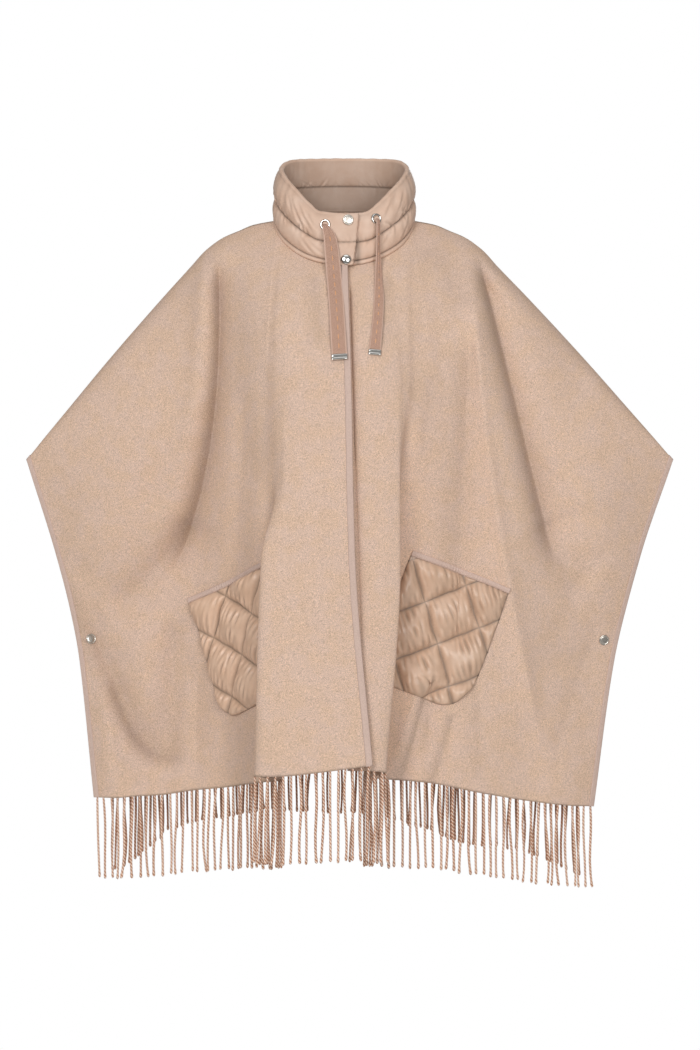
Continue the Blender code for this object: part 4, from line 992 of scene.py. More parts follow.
def inflate(u, v, near, waves, pinned, look):
    # the sheet starts as low uneven mounds that fall to its seams. Its rest shape is longer than
    # its seams by the two gather factors, so that it gathers along them. Returns the moves of
    # its places along u, v and up
    scale = mm * inflating["timesLifeSize"]
    start = inflating["mound"] * np.clip(near / inflating["moundReach"], 0, 1) * (1 + waves) * ~pinned
    sheet = np.stack([u, v, start], axis=-1)
    mesh = bpy.data.meshes.new("quilting sheet")
    mesh.from_pydata(sheet.reshape(-1, 3) * scale, [], gridFaces(np.arange(u.size).reshape(u.shape)))
    piece = bpy.data.objects.new("quilting sheet", mesh)
    bpy.context.scene.collection.objects.link(piece)
    piece.shape_key_add(name="sewn")
    rest = piece.shape_key_add(name="cut")
    rest.data.foreach_set("co", (sheet * (*look["gather"], 1.0) * scale).ravel())
    piece.vertex_groups.new(name="seams").add(np.flatnonzero(pinned).tolist(), 1.0, "REPLACE")
    modifier = piece.modifiers.new("cloth", "CLOTH")
    modifier.collision_settings.use_collision = False
    modifier.point_cache.frame_start, modifier.point_cache.frame_end = 1, inflating["frames"]
    settings = modifier.settings
    settings.quality, settings.mass = inflating["quality"], inflating["mass"]
    settings.tension_stiffness = settings.compression_stiffness = inflating["stiffness"]
    settings.shear_stiffness = inflating["stiffness"] * inflating["shearShare"]
    settings.bending_stiffness = inflating["bending"]
    settings.tension_damping = settings.compression_damping = inflating["damping"]
    settings.air_damping = inflating["airDamping"]
    settings.vertex_group_mass, settings.rest_shape_key = "seams", rest
    settings.use_pressure, settings.uniform_pressure_force = True, look["pressure"]
    settings.effector_weights.gravity = 0.0
    for number in range(1, inflating["frames"] + 1):
        bpy.context.scene.frame_set(number)
    result = np.zeros(sheet.size)
    blown = piece.evaluated_get(bpy.context.evaluated_depsgraph_get())
    blown.data.vertices.foreach_get("co", result)
    bpy.context.scene.frame_set(1)
    bpy.data.objects.remove(piece, do_unlink=True)
    bpy.data.meshes.remove(mesh)
    return result.reshape(sheet.shape) / scale - np.stack([u, v, np.zeros_like(u)], axis=-1)


def lookUp(field, row, column):
    # the field between its grid's places, by the two nearest rows and columns
    row = np.clip(row, 0, field.shape[0] - 1.001)
    column = np.clip(column, 0, field.shape[1] - 1.001)
    r, c = row.astype(int), column.astype(int)
    down, right = (row - r)[..., None], (column - c)[..., None]
    upper = field[r, c] * (1 - right) + field[r, c + 1] * right
    lower = field[r + 1, c] * (1 - right) + field[r + 1, c + 1] * right
    return upper * (1 - down) + lower * down


# gathers are small grooves that run out of a seam
def addGathers(distance, along, grooves):
    # each groove: a bell across it, sunk, with a ridge on one side; it leaves the seam at its
    # own place, leans and bends with distance, is pinned at the seam and fades at its length
    total = np.zeros(np.broadcast(distance, along).shape)
    for at, depth, width, length, lean, bend in grooves:
        across = along - at - lean * distance - bend * distance**2
        fade = bell(distance / length) * smoothStep(distance / 1.6)
        near = bell(across / width) - 0.55 * bell((across - 1.9 * width) / (1.3 * width))
        total -= depth * fade * near * (distance >= 0)
    return total


def randomGathers(rng, spacing, depth, width, length, lean):
    # places at uneven steps; deeper grooves are wider and longer
    grooves = []
    at, end = collar["gathered"]
    while at < end:
        at += spacing * rng.uniform(0.45, 1.7)
        size = rng.uniform(0.25, 1.0) ** 1.3
        reach = length * (0.35 + size * rng.uniform(0.5, 1.2))
        bend = (rng.normal(0, lean), rng.normal(0, 0.006))
        grooves.append((at, depth * size, width * (0.6 + 0.6 * size), reach, *bend))
    return grooves


# collar: two down-filled channels outside and two inside, lapped in front
collar = {
    "steps": 460, "levels": 44, "radius": 92.0, "innerRadius": 90.0, "tall": 70.0,
    "core": 2.0, "puffOut": 6.8, "puffIn": 4.2, "flatFill": 0.3, "flatEnd": 8.0, "fillReach": 26.0,
    "piping": 0.055, "channel": 0.44, "innerChannel": 0.49, "power": 0.48,
    # between which heights each channel runs, and how full it is
    "outerChannels": ((-0.045, 0.055, 0.42), (0.055, 0.44, 0.85), (0.44, 1.06, 1.1)),
    "innerChannels": ((0.49, 1.08, 1.0), (0.02, 0.49, 0.3)),
    # degrees round the neck where the collar starts and ends, and its upper end's slant
    "lap": (-11.5, 370.0), "slant": 8.5, "slantFrom": -2.0, "slantReach": 9.5, "underLap": 348.5,
    "lean": 3.6, "leanFrom": 0.62, "crown": 2.0, "crownFill": 3.0, "crownSteps": 9,
    "snaps": {"top": (-3.0, 0.90), "base": (-1.4, 0.08)},
    "eyelets": {"right": (15.4, 0.785), "left": (331.4, 0.805)}, "hollow": (13.0, 12.0, 0.6),
    # gathers over and under the outer and the inner seam: spacing, depth, width, length, lean
    "gathered": (-20.0, 600.0),
    "gathers": ((7.0, 2.6, 1.7, 8.0, 0.8), (8.0, 2.0, 1.7, 7.0, 0.7)),
    "innerGathers": ((6.5, 2.2, 1.5, 6.0, 0.9), (16.0, 0.6, 2.4, 10.0, 0.5)),
    # how much of the simulated wrinkles each side takes, and how much the other folds flatten
    "wrinkled": 0.16, "innerWrinkled": 0.08, "endFolds": 0.4, "innerFolds": 0.8,
    # the rim's waves: height, how much the angle counts, and wavelength; the slanting edge's: height
    # and waves along its height
    "rimWaves": (0.35, 9.0, 21.0), "slantWaves": (0.35, 46.0),
    # both ends close over a short roll: how much smaller each step is and how far beyond
    "roll": ((0.75, 0.9), (0.3, 1.6)),
}
# painted shade, how much darker: with the relief, which also paints light on the crests, along
# seams by width and depth, as a painted shadow beside the lap, and on the inner side
collarShade = {
    "relief": 0.09, "seam": (1.4, 0.34), "piping": (1.2, 0.25), "lap": 0.5, "lapWidth": 2.4,
    "inner": 0.2, "innerLow": 0.19, "innerSeam": (1.5, 0.40),
}


def channelBulge(height, seams):
    # between each two seams the filling stands up as a half sine to a power below one
    bulge = np.zeros_like(height)
    for low, high, full in seams:
        inside = (height >= low) & (height <= high)
        wave = np.sin(math.pi * np.clip((height - low) / (high - low), 0, 1))
        bulge = np.where(inside, full * np.abs(wave) ** collar["power"], bulge)
    return bulge


collarSheet = {
    "low": 3.9, "seam": 30.8, "high": 78.0, "lowRows": 12, "highRows": 21, "columns": 278,
    "length": 620.0, "gather": (1.10, 1.02), "pressure": 0.5, "wave": (15.0, 110.0), "uneven": 0.5,
}


def gatherWaves(u, v, wave, seed):
    # uneven starting waves across the gathers: sines of nearly the same direction
    rng = np.random.default_rng(seed)
    total = np.zeros(u.shape)
    for near, lean, phase in rng.uniform((0.6, -1.0, 0.0), (1.5, 1.0, 2 * math.pi), (10, 3)):
        total += np.sin(2 * math.pi * (u / wave[0] * near + v / wave[1] * lean) + phase)
    return total / math.sqrt(10)


def collarWrinkles():
    # the blown-up channels less their mean shape: what the gathers add, by height and run
    look = collarSheet
    levels = np.concatenate([
        np.linspace(look["low"], look["seam"], look["lowRows"] + 1),
        np.linspace(look["seam"], look["high"], look["highRows"] + 1)[1:]])
    run, level = np.meshgrid(np.linspace(0, look["length"], look["columns"]), levels)
    pinned = np.zeros(run.shape, bool)
    pinned[[0, look["lowRows"], -1]] = True
    pinned[:, [0, -1]] = True
    near = np.minimum(np.abs(level - look["seam"]), np.minimum(level - look["low"], look["high"] - level))
    waves = look["uneven"] * gatherWaves(run, level, look["wave"], 8)
    height = inflate(run, level, near, waves, pinned, look)[..., 2:]
    return levels, height - height.mean(axis=1, keepdims=True)


def onCollarSheet(wrinkles, run, level):
    levels, field = wrinkles
    row = np.interp(level, levels, np.arange(len(levels)))
    column = (run - collar["gathered"][0]) / collarSheet["length"] * (collarSheet["columns"] - 1)
    inside = (level >= levels[0]) & (level <= levels[-1])
    return lookUp(field, *np.broadcast_arrays(row, column))[..., 0] * inside


def collarLine(turns):
    lift = lapLift(turns)
    base, rim = ringPoint(turns, lift), ringPoint(turns, lift, rim=True)
    outward = unit(np.stack([
        -np.sin(turns) * neck["halfDepth"], -np.cos(turns) * neck["halfWidth"], np.zeros_like(turns),
    ], axis=-1))
    return base, rim, outward


def seamGathers(heights, seam, run, rng, gathers):
    # grooves over the seam and under it
    over = (heights - seam) * collar["tall"]
    return sum(addGathers(distance, run, randomGathers(rng, *settings))
               for distance, settings in zip((over, -over), gathers))


def collarOuter(turns, heights, wrinkles):
    # stand-off of the outer side: core, channels, and the gathers along their seams
    degrees = np.degrees(turns)[:, None]
    nearEnd = np.minimum(degrees - collar["lap"][0], collar["lap"][1] - degrees)
    filled = smoothStep((nearEnd - collar["flatEnd"]) / collar["fillReach"])
    fill = collar["flatFill"] + (1 - collar["flatFill"]) * filled
    bulge = channelBulge(heights, collar["outerChannels"])
    run, level = turns[:, None] * collar["radius"], heights * collar["tall"]
    folds = seamGathers(heights, collar["channel"], run, np.random.default_rng(5), collar["gathers"])
    if wrinkles:
        folds += collar["wrinkled"] * onCollarSheet(wrinkles, run, level)
    folds *= collar["endFolds"] + (1 - collar["endFolds"]) * filled
    swell = 0.5 * softNoise(run, level * 1.5, 46.0, 31)
    offset = collar["core"] + fill * (collar["puffOut"] * bulge) + folds + swell * bulge
    offset += collarDents(run, level)
    # the upper channel leans in towards the rim
    lean = np.clip((heights - collar["leanFrom"]) / (1 - collar["leanFrom"]), 0, 1) ** 1.5
    return offset - collar["lean"] * filled * lean, fill[:, 0]


# creases drawn across the collar: degrees round the neck, height share, length, lean, width, depth
collarCreases = (
    (34.0, 0.72, 26.0, 1.1, 2.6, 1.6), (41.0, 0.66, 30.0, 1.0, 2.8, 1.5), (29.0, 0.80, 18.0, 1.3, 2.2, 1.2),
    (50.0, 0.74, 22.0, 0.8, 2.4, 1.1), (22.0, 0.24, 22.0, 1.6, 2.4, 1.3), (30.0, 0.20, 26.0, 1.4, 2.6, 1.2),
    (318.0, 0.84, 26.0, -1.2, 2.8, 1.6), (312.0, 0.88, 20.0, -1.0, 2.2, 1.2),
    (305.0, 0.75, 24.0, -0.9, 2.6, 1.0), (322.0, 0.30, 20.0, -1.4, 2.4, 1.0),
    (300.0, 0.22, 26.0, -1.2, 2.6, 1.0), (96.0, 0.70, 26.0, 0.5, 3.0, 1.0),
    (150.0, 0.74, 30.0, 0.4, 3.0, 1.2), (205.0, 0.70, 30.0, -0.5, 3.0, 1.2),
    (255.0, 0.72, 26.0, -0.4, 3.0, 1.0), (120.0, 0.24, 22.0, 0.6, 3.0, 1.0),
    (230.0, 0.26, 24.0, -0.5, 3.0, 1.0),
)


def collarDents(run, level):
    # creases as bells across short slanting lines, each with a lower ridge beside it
    total = np.zeros(np.broadcast(run, level).shape)
    for degrees, height, length, lean, width, depth in collarCreases:
        right, up = run - math.radians(degrees) * collar["radius"], level - height * collar["tall"]
        size = math.hypot(1, lean)
        alongIt, acrossIt = (right * lean + up) / size, (right - up * lean) / size
        fade = np.exp(-3 * (alongIt / length) ** 2)
        total += depth * fade * (0.5 * bell((acrossIt - 2 * width) / (1.4 * width)) - bell(acrossIt / width))
    return total


def fixingHollow(turns, heights, offset):
    # round each snap and eyelet the puff is drawn down to the height of its seat
    wide, high, depth = collar["hollow"]
    for degrees, height in [*collar["snaps"].values(), *collar["eyelets"].values()]:
        turn = math.radians(degrees)
        near = bell((turns[:, None] - turn) * collar["radius"] / wide)
        near = near * bell((heights - height) * collar["tall"] / high)
        seat = offset[np.abs(turns - turn).argmin(), np.abs(heights - height).argmin()]
        offset = offset + near * (np.minimum(offset, seat - depth) - offset)
    return offset


def seamShade(heights, seam, look):
    # a painted shade line along a seam: a bell of the given width and depth
    width, depth = look
    return -depth * bell((heights - seam) * collar["tall"] / width)


def outerShade(turns, heights, offset):
    # painted shade: darker in the grooves and along the seams, and a painted shadow on the under
    # lap beside the upper lap's end, most of all low down; the crests get a little painted light
    look = collarShade
    uneven = 1 + 0.4 * softNoise(turns[:, None] * collar["radius"], np.zeros_like(heights), 9.0, 51)
    shade = look["relief"] * np.clip(offset - boxMean(offset, 5), -2.0, 1.0)
    shade = shade + uneven * seamShade(heights, collar["channel"], look["seam"])
    shade = shade + seamShade(heights, collar["piping"], look["piping"])
    beside = bell((np.degrees(turns) - collar["underLap"]) / look["lapWidth"])[:, None]
    return shade - look["lap"] * beside * smoothStep((0.62 - heights) / 0.3)


def innerShade(heights):
    # the inner side is in shade, and more so under its seam
    look = collarShade
    low = smoothStep((collar["innerChannel"] - heights) / 0.05)
    seam = seamShade(heights, collar["innerChannel"], look["innerSeam"])
    return seam - look["inner"] - look["innerLow"] * low


def onSpine(loops, base, rise, highest):
    # how high each point stands along the collar's middle line, from 0 at its base to 1
    share = ((loops - base[:, None]) * rise).sum(-1) / (rise * rise).sum(-1)
    return np.clip(share, 0.0, highest)


def makeCollar():
    # each section: the outer side up, a rounded crown, and the inner side down
    wrinkles = collarWrinkles()
    turns = np.radians(np.linspace(*collar["lap"], collar["steps"]))
    base, rim, outward = collarLine(turns)
    rise = (rim - base)[:, None]
    close = [[s - 0.008, s, s + 0.008] for s in (collar["piping"], collar["channel"])]
    heights = np.unique(np.concatenate([np.linspace(-0.04, 1, collar["levels"]), *close]))
    offset, fill = collarOuter(turns, heights, wrinkles)
    offset = fixingHollow(turns, heights, offset)
    outer = base[:, None] + rise * heights[:, None] + offset[..., None] * outward[:, None]

    seam = collar["innerChannel"]
    innerHeights = np.unique([*np.linspace(-0.02, 1, len(heights) - 2), seam, seam - 0.01])
    bulge = channelBulge(innerHeights, collar["innerChannels"])
    run = turns[:, None] * collar["innerRadius"]
    folds = seamGathers(innerHeights, seam, run, np.random.default_rng(9), collar["innerGathers"])
    if wrinkles:
        upper = innerHeights > seam
        level = (innerHeights - seam) * collar["tall"] * np.where(upper, 1.25, 0.8) + collarSheet["seam"]
        folds += np.where(upper, collar["innerWrinkled"], 0.0) * onCollarSheet(wrinkles, run[::-1], level)
    inset = collar["core"] + fill[:, None] * collar["puffIn"] * bulge + collar["innerFolds"] * folds
    inner = base[:, None] + rise * innerHeights[:, None] - inset[..., None] * outward[:, None]

    angle = np.linspace(0, math.pi, collar["crownSteps"])[1:-1]
    middle = (outer[:, -1] + inner[:, -1]) / 2
    half = (outer[:, -1] - inner[:, -1]) / 2
    wave = (collar["crown"] + collar["crownFill"] * fill)[:, None]
    high, share, size = collar["rimWaves"]
    wave = wave + high * softNoise(turns[:, None] * collar["radius"], angle * share, size, 77)
    crown = middle[:, None] + half[:, None] * np.cos(angle)[:, None]
    crown[..., 2] += np.sin(angle) ** 0.8 * wave
    loops = np.concatenate([outer, crown, inner[:, ::-1]], axis=1)
    shadeIn = np.broadcast_to(innerShade(innerHeights)[::-1], inset.shape)
    shade = np.concatenate([outerShade(turns, heights, offset), np.zeros_like(wave), shadeIn], axis=1)
    # one more corner, between the last and the first, makes their number even
    loops = np.concatenate([loops, (loops[:, :1] + loops[:, -1:]) / 2], axis=1)
    shade = np.concatenate([shade, shade[:, -1:]], axis=1)
    # the upper lap's end slants in towards the base, and its edge is a little gathered
    tallness = onSpine(loops, base, rise, 1.1)
    lapped = np.clip((collar["slantFrom"] - np.degrees(turns)) / collar["slantReach"], 0, 1)[:, None] ** 2
    high, count = collar["slantWaves"]
    slope = collar["slant"] * np.clip(1 - tallness, 0, 1) ** 1.2 + high * np.sin(tallness * count)
    slanted = np.zeros_like(loops)
    slanted[..., 0] = lapped * slope
    loops -= slanted
    # both ends close over a short roll towards the middle line
    spine = base[:, None] + rise * onSpine(loops, base, rise, 1.02)[..., None] - slanted
    rolls = []
    for end, following in ((0, 1), (-1, -2)):
        tangent = unit((loops[end] - loops[following]).mean(0))
        rolls.append([spine[end] + shrink * (loops[end] - spine[end]) + beyond * tangent
                      for shrink, beyond in collar["roll"]])
    loops = np.concatenate([rolls[0][::-1], loops, rolls[1]])
    shade = np.concatenate([shade[:1], shade[:1], shade, shade[-1:], shade[-1:]])
    piece = place(addTubes("collar_quilted", loops, collarNylon, shade=shade), "nylon", "collar")
    return turns, heights, outer, outward


collarTurns, collarHeights, collarSurface, collarOut = makeCollar()
print("collar made")


# pockets: square quilting set askew, gathered along its seams
pocket = {
    "halfWidth": 81.0, "halfHeight": 90.0, "tilt": 19.5, "corner": 40.0, "puff": 10.5,
    "back": {"right": 3.05, "left": 2.1}, "rim": 1.2, "edgeRise": 15.0, "hidden": 24.0,
    "pitch": 64.5, "turn": 40.5, "centre": (7.0, 13.0), "waver": (0.9, 34.0),
    "places": {"right": (0.46, 40.0, -598.0), "left": (0.35, 54.0, -583.0)},
    "columns": 150, "rowsDown": 176,
    # the simulated sheet: squares each way, cells to a square, and how it is gathered
    "squares": 4, "cells": 30, "gather": (1.05, 1.075), "pressure": 1.15, "wave": (11.0, 45.0),
    # unevenness and lift of the blown sheet; painted light on the right pocket and painted shade on the left;
    # the painted shade along the seams, width and depth, and at the rim
    "uneven": 0.35, "lift": 1.35, "paintedLightAndShade": {"right": 0.07, "left": -0.05}, "seamShade": (0.8, 0.30),
    "rimShade": 0.35,
    # how far the cloth behind stands off, how far the front side is sunk, its least height, and
    # the roll that closes it
    "gap": 0.25, "sunk": 0.6, "least": 0.5, "lip": 0.8,
}
# the roll over the mouth: its section as shares of width and height, and a ripple of a given
# height, middle, reach and wavelength
pocketTape = {
    "width": 8.0, "height": 3.4, "beyond": 0.6, "sunk": 0.9, "steps": 200,
    "ripple": (0.6, 8.0, 34.0, 4.6),
    "section": ((0.0, 0.0), (0.0, 0.55), (0.07, 0.85), (0.22, 1.0), (0.45, 1.04), (0.7, 1.0),
                (0.9, 0.85), (1.0, 0.55), (1.0, 0.0), (0.5, 0.0)),
}


def onPanel(look, start, across, down):
    # places on the cloth by flat distance from a line down it and by height: rows of the cloth
    # are measured along, then both are looked up and blended
    shares = np.linspace(start - 0.05, 1.0, 120)
    heights = np.linspace(cloth["shoulderShare"], 1.0, 90)
    grid = panelPoints(look["rows"], shares, heights, look["facing"], look["side"])
    fields = np.concatenate([grid, gridNormals(grid, look["facing"])], axis=-1)
    run = runAlong(grid)
    run -= np.array([np.interp(start, shares, row) for row in run])[:, None]
    flat = across.ravel()
    found = np.stack([lookAlong(flat, row, field) for row, field in zip(run, fields)])
    levels = found[:, :, 2]
    wanted = down.ravel()
    row = np.clip((levels > wanted).sum(axis=0) - 1, 0, len(heights) - 2)
    pick = np.arange(len(flat))
    part = (levels[row, pick] - wanted) / (levels[row, pick] - levels[row + 1, pick])
    blend = found[row, pick] + part[:, None] * (found[row + 1, pick] - found[row, pick])
    blend = blend.reshape(*across.shape, 6)
    return blend[..., :3], unit(blend[..., 3:])


def pocketPlace(which, along, down):
    # the tilted pocket on the cloth; what would pass the fold tucks in behind it
    start, centre, height = pocket["places"][which]
    tilt = math.radians(pocket["tilt"])
    across = centre + along * math.cos(tilt) - down * math.sin(tilt)
    tucked = -pocket["hidden"] * (1 - np.exp(np.minimum(across, 0) / pocket["hidden"]))
    across = np.where(across < 0, tucked, across)
    return start, across, height - along * math.sin(tilt) - down * math.cos(tilt)


def fromSeam(u, v):
    # distance from the nearest of the two sets of seams
    pitch = pocket["pitch"]
    return np.minimum(*[np.abs((w / pitch + 0.5) % 1 - 0.5) * pitch for w in (u, v)])


def inflateQuilt():
    # squares between two sets of crossing seams, gathered mostly along the shallower ones
    pitch, cells, squares = pocket["pitch"], pocket["cells"], pocket["squares"]
    line = (np.arange(squares * cells + 1) / cells - squares / 2) * pitch
    u, v = np.meshgrid(line, line)
    near = fromSeam(u, v)
    waves = pocket["uneven"] * gatherWaves(v, u, pocket["wave"], 5)
    return inflate(u, v, near, waves, near < 0.3 * pitch / cells, pocket)


def quiltRelief(which, along, down, blown):
    # how far each place of the pocket moves along, down and outwards, and its painted shade:
    # darker in the hollows and along the seams, lighter on the puffs' tops, and raised or lowered
    # by side
    pitch = pocket["pitch"]
    turn = math.radians(pocket["turn"])
    height, size = pocket["waver"]
    a = along - pocket["centre"][0] + height * softNoise(along, down, size, 41)
    d = down - pocket["centre"][1] + height * softNoise(along, down, size, 42)
    u = a * math.sin(turn) + d * math.cos(turn)
    v = a * math.cos(turn) - d * math.sin(turn)
    if blown is None:
        # a plain round puff: 1 - (1 - s)^2.3 to the power 0.62 each way, s from seam to middle
        puffs = [(1 - (1 - fromSeam(w, w) / pitch * 2) ** 2.3) ** 0.62 for w in (u, v)]
        flat = np.zeros_like(u)
        return flat, flat, pocket["puff"] * puffs[0] * puffs[1], flat
    if which == "left":
        blown = blown[::-1, ::-1] * (-1, -1, 1)
    cell = pitch / pocket["cells"]
    middle = pocket["squares"] * pocket["cells"] / 2
    moves = lookUp(blown, v / cell + middle, u / cell + middle)
    moveU, moveV, rise = moves[..., 0], moves[..., 1], pocket["lift"] * moves[..., 2]
    width, depth = pocket["seamShade"]
    # painted shade in the hollows and painted light on the puffs' tops, raised or lowered by side; along the
    # seams a dark line, partly the stitching and partly painted shade
    shade = np.clip(0.18 * (rise - boxMean(rise, 5)), -0.3, 0.1) + pocket["paintedLightAndShade"][which]
    shade -= depth * bell(fromSeam(u, v) / width)
    return (moveU * math.sin(turn) + moveV * math.cos(turn),
            moveU * math.cos(turn) - moveV * math.sin(turn), rise, shade)


def makePocket(which, blown):
    look = panels[f"front_{which}"]
    bottom = pocket["halfHeight"] - pocket["corner"]
    bend = np.linspace(0, math.pi / 2, 40)[1:]
    straightRows = pocket["rowsDown"] - len(bend)
    down = np.concatenate([
        np.linspace(-pocket["halfHeight"], bottom, straightRows), bottom + pocket["corner"] * np.sin(bend)])
    half = np.full(len(down), pocket["halfWidth"])
    half[straightRows:] -= pocket["corner"] * (1 - np.cos(bend))
    share = np.linspace(-1, 1, pocket["columns"])
    along = half[:, None] * share
    below = np.repeat(down[:, None], len(share), axis=1)
    sideways = (half[:, None] - np.abs(along)) / pocket["edgeRise"]
    endways = (pocket["halfHeight"] - np.abs(below)) / pocket["edgeRise"]
    fill = np.clip(np.minimum(sideways, endways), 0, 1)
    fill = (1 - (1 - fill) ** 2) ** 0.5
    back = pocket["back"][which]
    moveAlong, moveDown, rise, shade = quiltRelief(which, along, below, blown)
    points, outward = onPanel(look, *pocketPlace(which, along, below))
    inner = points + (cloth["wall"] / 2 + pocket["gap"]) * outward
    moved = pocketPlace(which, along + fill * moveAlong, below + fill * moveDown)
    points, outward = onPanel(look, *moved)
    puff = np.maximum(pocket["rim"] + fill * rise, pocket["least"])
    outer = points + (back + puff - pocket["sunk"])[..., None] * outward
    # painted shade at the rim, where the pocket's edge turns under
    shade = shade - pocket["rimShade"] * (1 - fill) ** 2
    loops = shellSections(outer, inner, pocket["lip"])
    piece = addTubes(f"pocket_quilted_{which}", loops, nylon, shade=shellShade(shade))
    place(piece, "nylon", f"pocket_{which}")
    makePocketTape(which, look, back)


def makePocketTape(which, look, back):
    # a rolled band along the mouth: a rounded bar whose back lies on the cloth
    half = pocket["halfWidth"] + pocketTape["beyond"]
    along = np.linspace(-half, half, pocketTape["steps"])
    low = -pocket["halfHeight"] + pocketTape["beyond"]
    high, middle, reach, wavelength = pocketTape["ripple"]
    phase = along / wavelength * 2 * math.pi + 0.6 * np.sin(along / 7)
    ripple = high * bell((along - middle) / reach) * np.sin(phase)
    loop = []
    for part, rise in pocketTape["section"]:
        down = np.full_like(along, low - pocketTape["width"] * part)
        points, outward = onPanel(look, *pocketPlace(which, along, down))
        lift = back - pocketTape["sunk"] + rise * (pocketTape["height"] + ripple)
        loop.append(points + lift[:, None] * outward)
    spread = np.array(pocketTape["section"])[:, 0]
    uv = closedMap(spread, along[:, None] / tapeLook["ribMm"] * 2 * math.pi)
    place(addTubes(f"pocket_tape_{which}", np.stack(loop, axis=1), tape, uv), "tape",
          f"pocket_binding_{which}")


blownQuilt = inflateQuilt()
for which in ("right", "left"):
    makePocket(which, blownQuilt)
print("pockets made")


# snaps and eyelets
hardware = {
    "snapRadius": 7.6, "snapHeight": 3.4, "eyeletRadius": 8.0, "eyeletHole": 4.2, "eyeletHeight": 2.4,
    "sideInset": 17.0,
}


def lathe(profile, seat, axis, sides=48):
    # the profile's radius and height turned about the axis, as loops round it
    axis = unit(np.asarray(axis, float))
    first = unit(np.cross(axis, (0.0, 0.0, 1.0)))
    second = np.cross(axis, first)
    angle = circleAngles(sides)
    circle = np.cos(angle)[:, None] * first + np.sin(angle)[:, None] * second
    profile = np.array(profile)
    return seat + profile[:, :1, None] * circle + profile[:, 1:, None] * axis


def makeSnap(name, seat, axis, material, node, domed):
    # a pressed cap closed underneath: either a smooth dome, part of an ellipse, over a thin
    # flange, or a plain flat face sunk a little inside a rolled rim
    radius, height = hardware["snapRadius"], hardware["snapHeight"]
    profile = [(0.05, 0.0), (radius - 1.0, 0.0)]
    if domed:
        profile += [(radius - 0.2, 0.15), (radius, 0.55), (radius - 0.25, 0.95)]
        turn = np.radians(np.linspace(4, 89.5, 16))
        profile += [((radius - 0.5) * math.cos(a), 1.0 + (height - 1.0) * math.sin(a)) for a in turn]
    else:
        roll = np.radians(np.linspace(-80, 170, 12))
        profile += [(radius - 0.95 + 0.95 * math.cos(a), height - 1.9 + 0.95 * math.sin(a)) for a in roll]
        profile += [(radius - 2.2, height - 1.55), (radius * 0.5, height - 1.4), (0.05, height - 1.35)]
    return place(addTubes(name, lathe(profile, seat, axis), material), "steel", node)


def makeEyelet(name, seat, axis, node):
    # a rolled ring: a circle section flattened against the cloth, with a short throat
    middle = (hardware["eyeletRadius"] + hardware["eyeletHole"]) / 2
    half = (hardware["eyeletRadius"] - hardware["eyeletHole"]) / 2
    angle = circleAngles(16)
    height = hardware["eyeletHeight"] * np.maximum(np.sin(angle), -0.2)
    rings = lathe(np.stack([middle + half * np.cos(angle), height], axis=1), seat, axis)
    return place(addRing(name, np.swapaxes(rings, 0, 1), nickel), "steel", node)


def addRing(name, sections, material):
    # like a tube, but its last section joins its first
    count, corners = sections.shape[:2]
    index = np.arange(count * corners).reshape(count, corners)
    faces, points = gridFaces(np.pad(index, (0, 1), mode="wrap")), sections.reshape(-1, 3)
    return addPiece(name, points, faces[:, ::-1] if inwards(points, faces) else faces, material)


def onCollar(degrees, height):
    row = np.abs(collarTurns - math.radians(degrees)).argmin()
    point = lookAlong(height, collarHeights, collarSurface[row])
    rise = collarSurface[row, -1] - collarSurface[row, 0]
    outward = collarOut[row]
    return point, unit(outward - rise * np.dot(outward, rise) / np.dot(rise, rise))


for which, (degrees, height) in collar["snaps"].items():
    seat, axis = onCollar(degrees, height)
    makeSnap(f"snap_{which}", seat + 0.1 * axis, axis, dullNickel if which == "top" else nickel,
             f"snap_collar_{which}", which == "base")
for which, (degrees, height) in collar["eyelets"].items():
    seat, axis = onCollar(degrees, height)
    makeEyelet(f"eyelet_ring_{which}", seat + 0.2 * axis, axis, f"eyelet_{which}")

for which in ("right", "left"):
    points, normal = nearEdge(panels[f"front_{which}"], False, np.linspace(0, 28, 29))
    row = np.abs(points[:, 0, 2] - cloth["snapZ"] - 8).argmin()
    column = np.abs(np.abs(points[row, :, 0] - points[row, 0, 0]) - hardware["sideInset"]).argmin()
    row = np.abs(points[:, column, 2] - cloth["snapZ"]).argmin()
    axis = normal[row, column]
    seat = points[row, column] + (cloth["wall"] / 2 - 0.2) * axis
    makeSnap(f"snap_cap_side_{which}", seat, axis, dullNickel, f"snap_side_{which}", False)
print("hardware made")


# fringe: twisted strands that hang from the hem
fringe = {
    "pitch": 10.6, "radius": 1.8, "sideLength": 120.0, "centreLength": 131.0, "centreReach": 200.0,
    "margin": 4.5, "backMargin": 30.0, "sides": 6, "twistMm": 10.4, "stripGap": 1.3, "innerShade": 1.7,
    # down a strand, as shares of its length, and its thickness there: a knot near the end
    "steps": (0.0, 0.05, 0.16, 0.32, 0.5, 0.68, 0.84, 0.925, 0.95, 0.975, 0.99, 1.0),
    "thick": (0.82, 0.95, 1.0, 1.0, 0.98, 0.97, 0.95, 0.92, 1.12, 1.18, 0.95, 0.45),
    # how much the strands differ in place, length, lean, sway, second sway, stand-off, width, shade
    "uneven": {
        "place": 1.2, "length": (-3.0, 0.8), "lean": 2.4, "sway": 1.6, "second": 0.9, "out": 1.2,
        "wide": (0.92, 1.08), "shade": 0.5,
    },
}


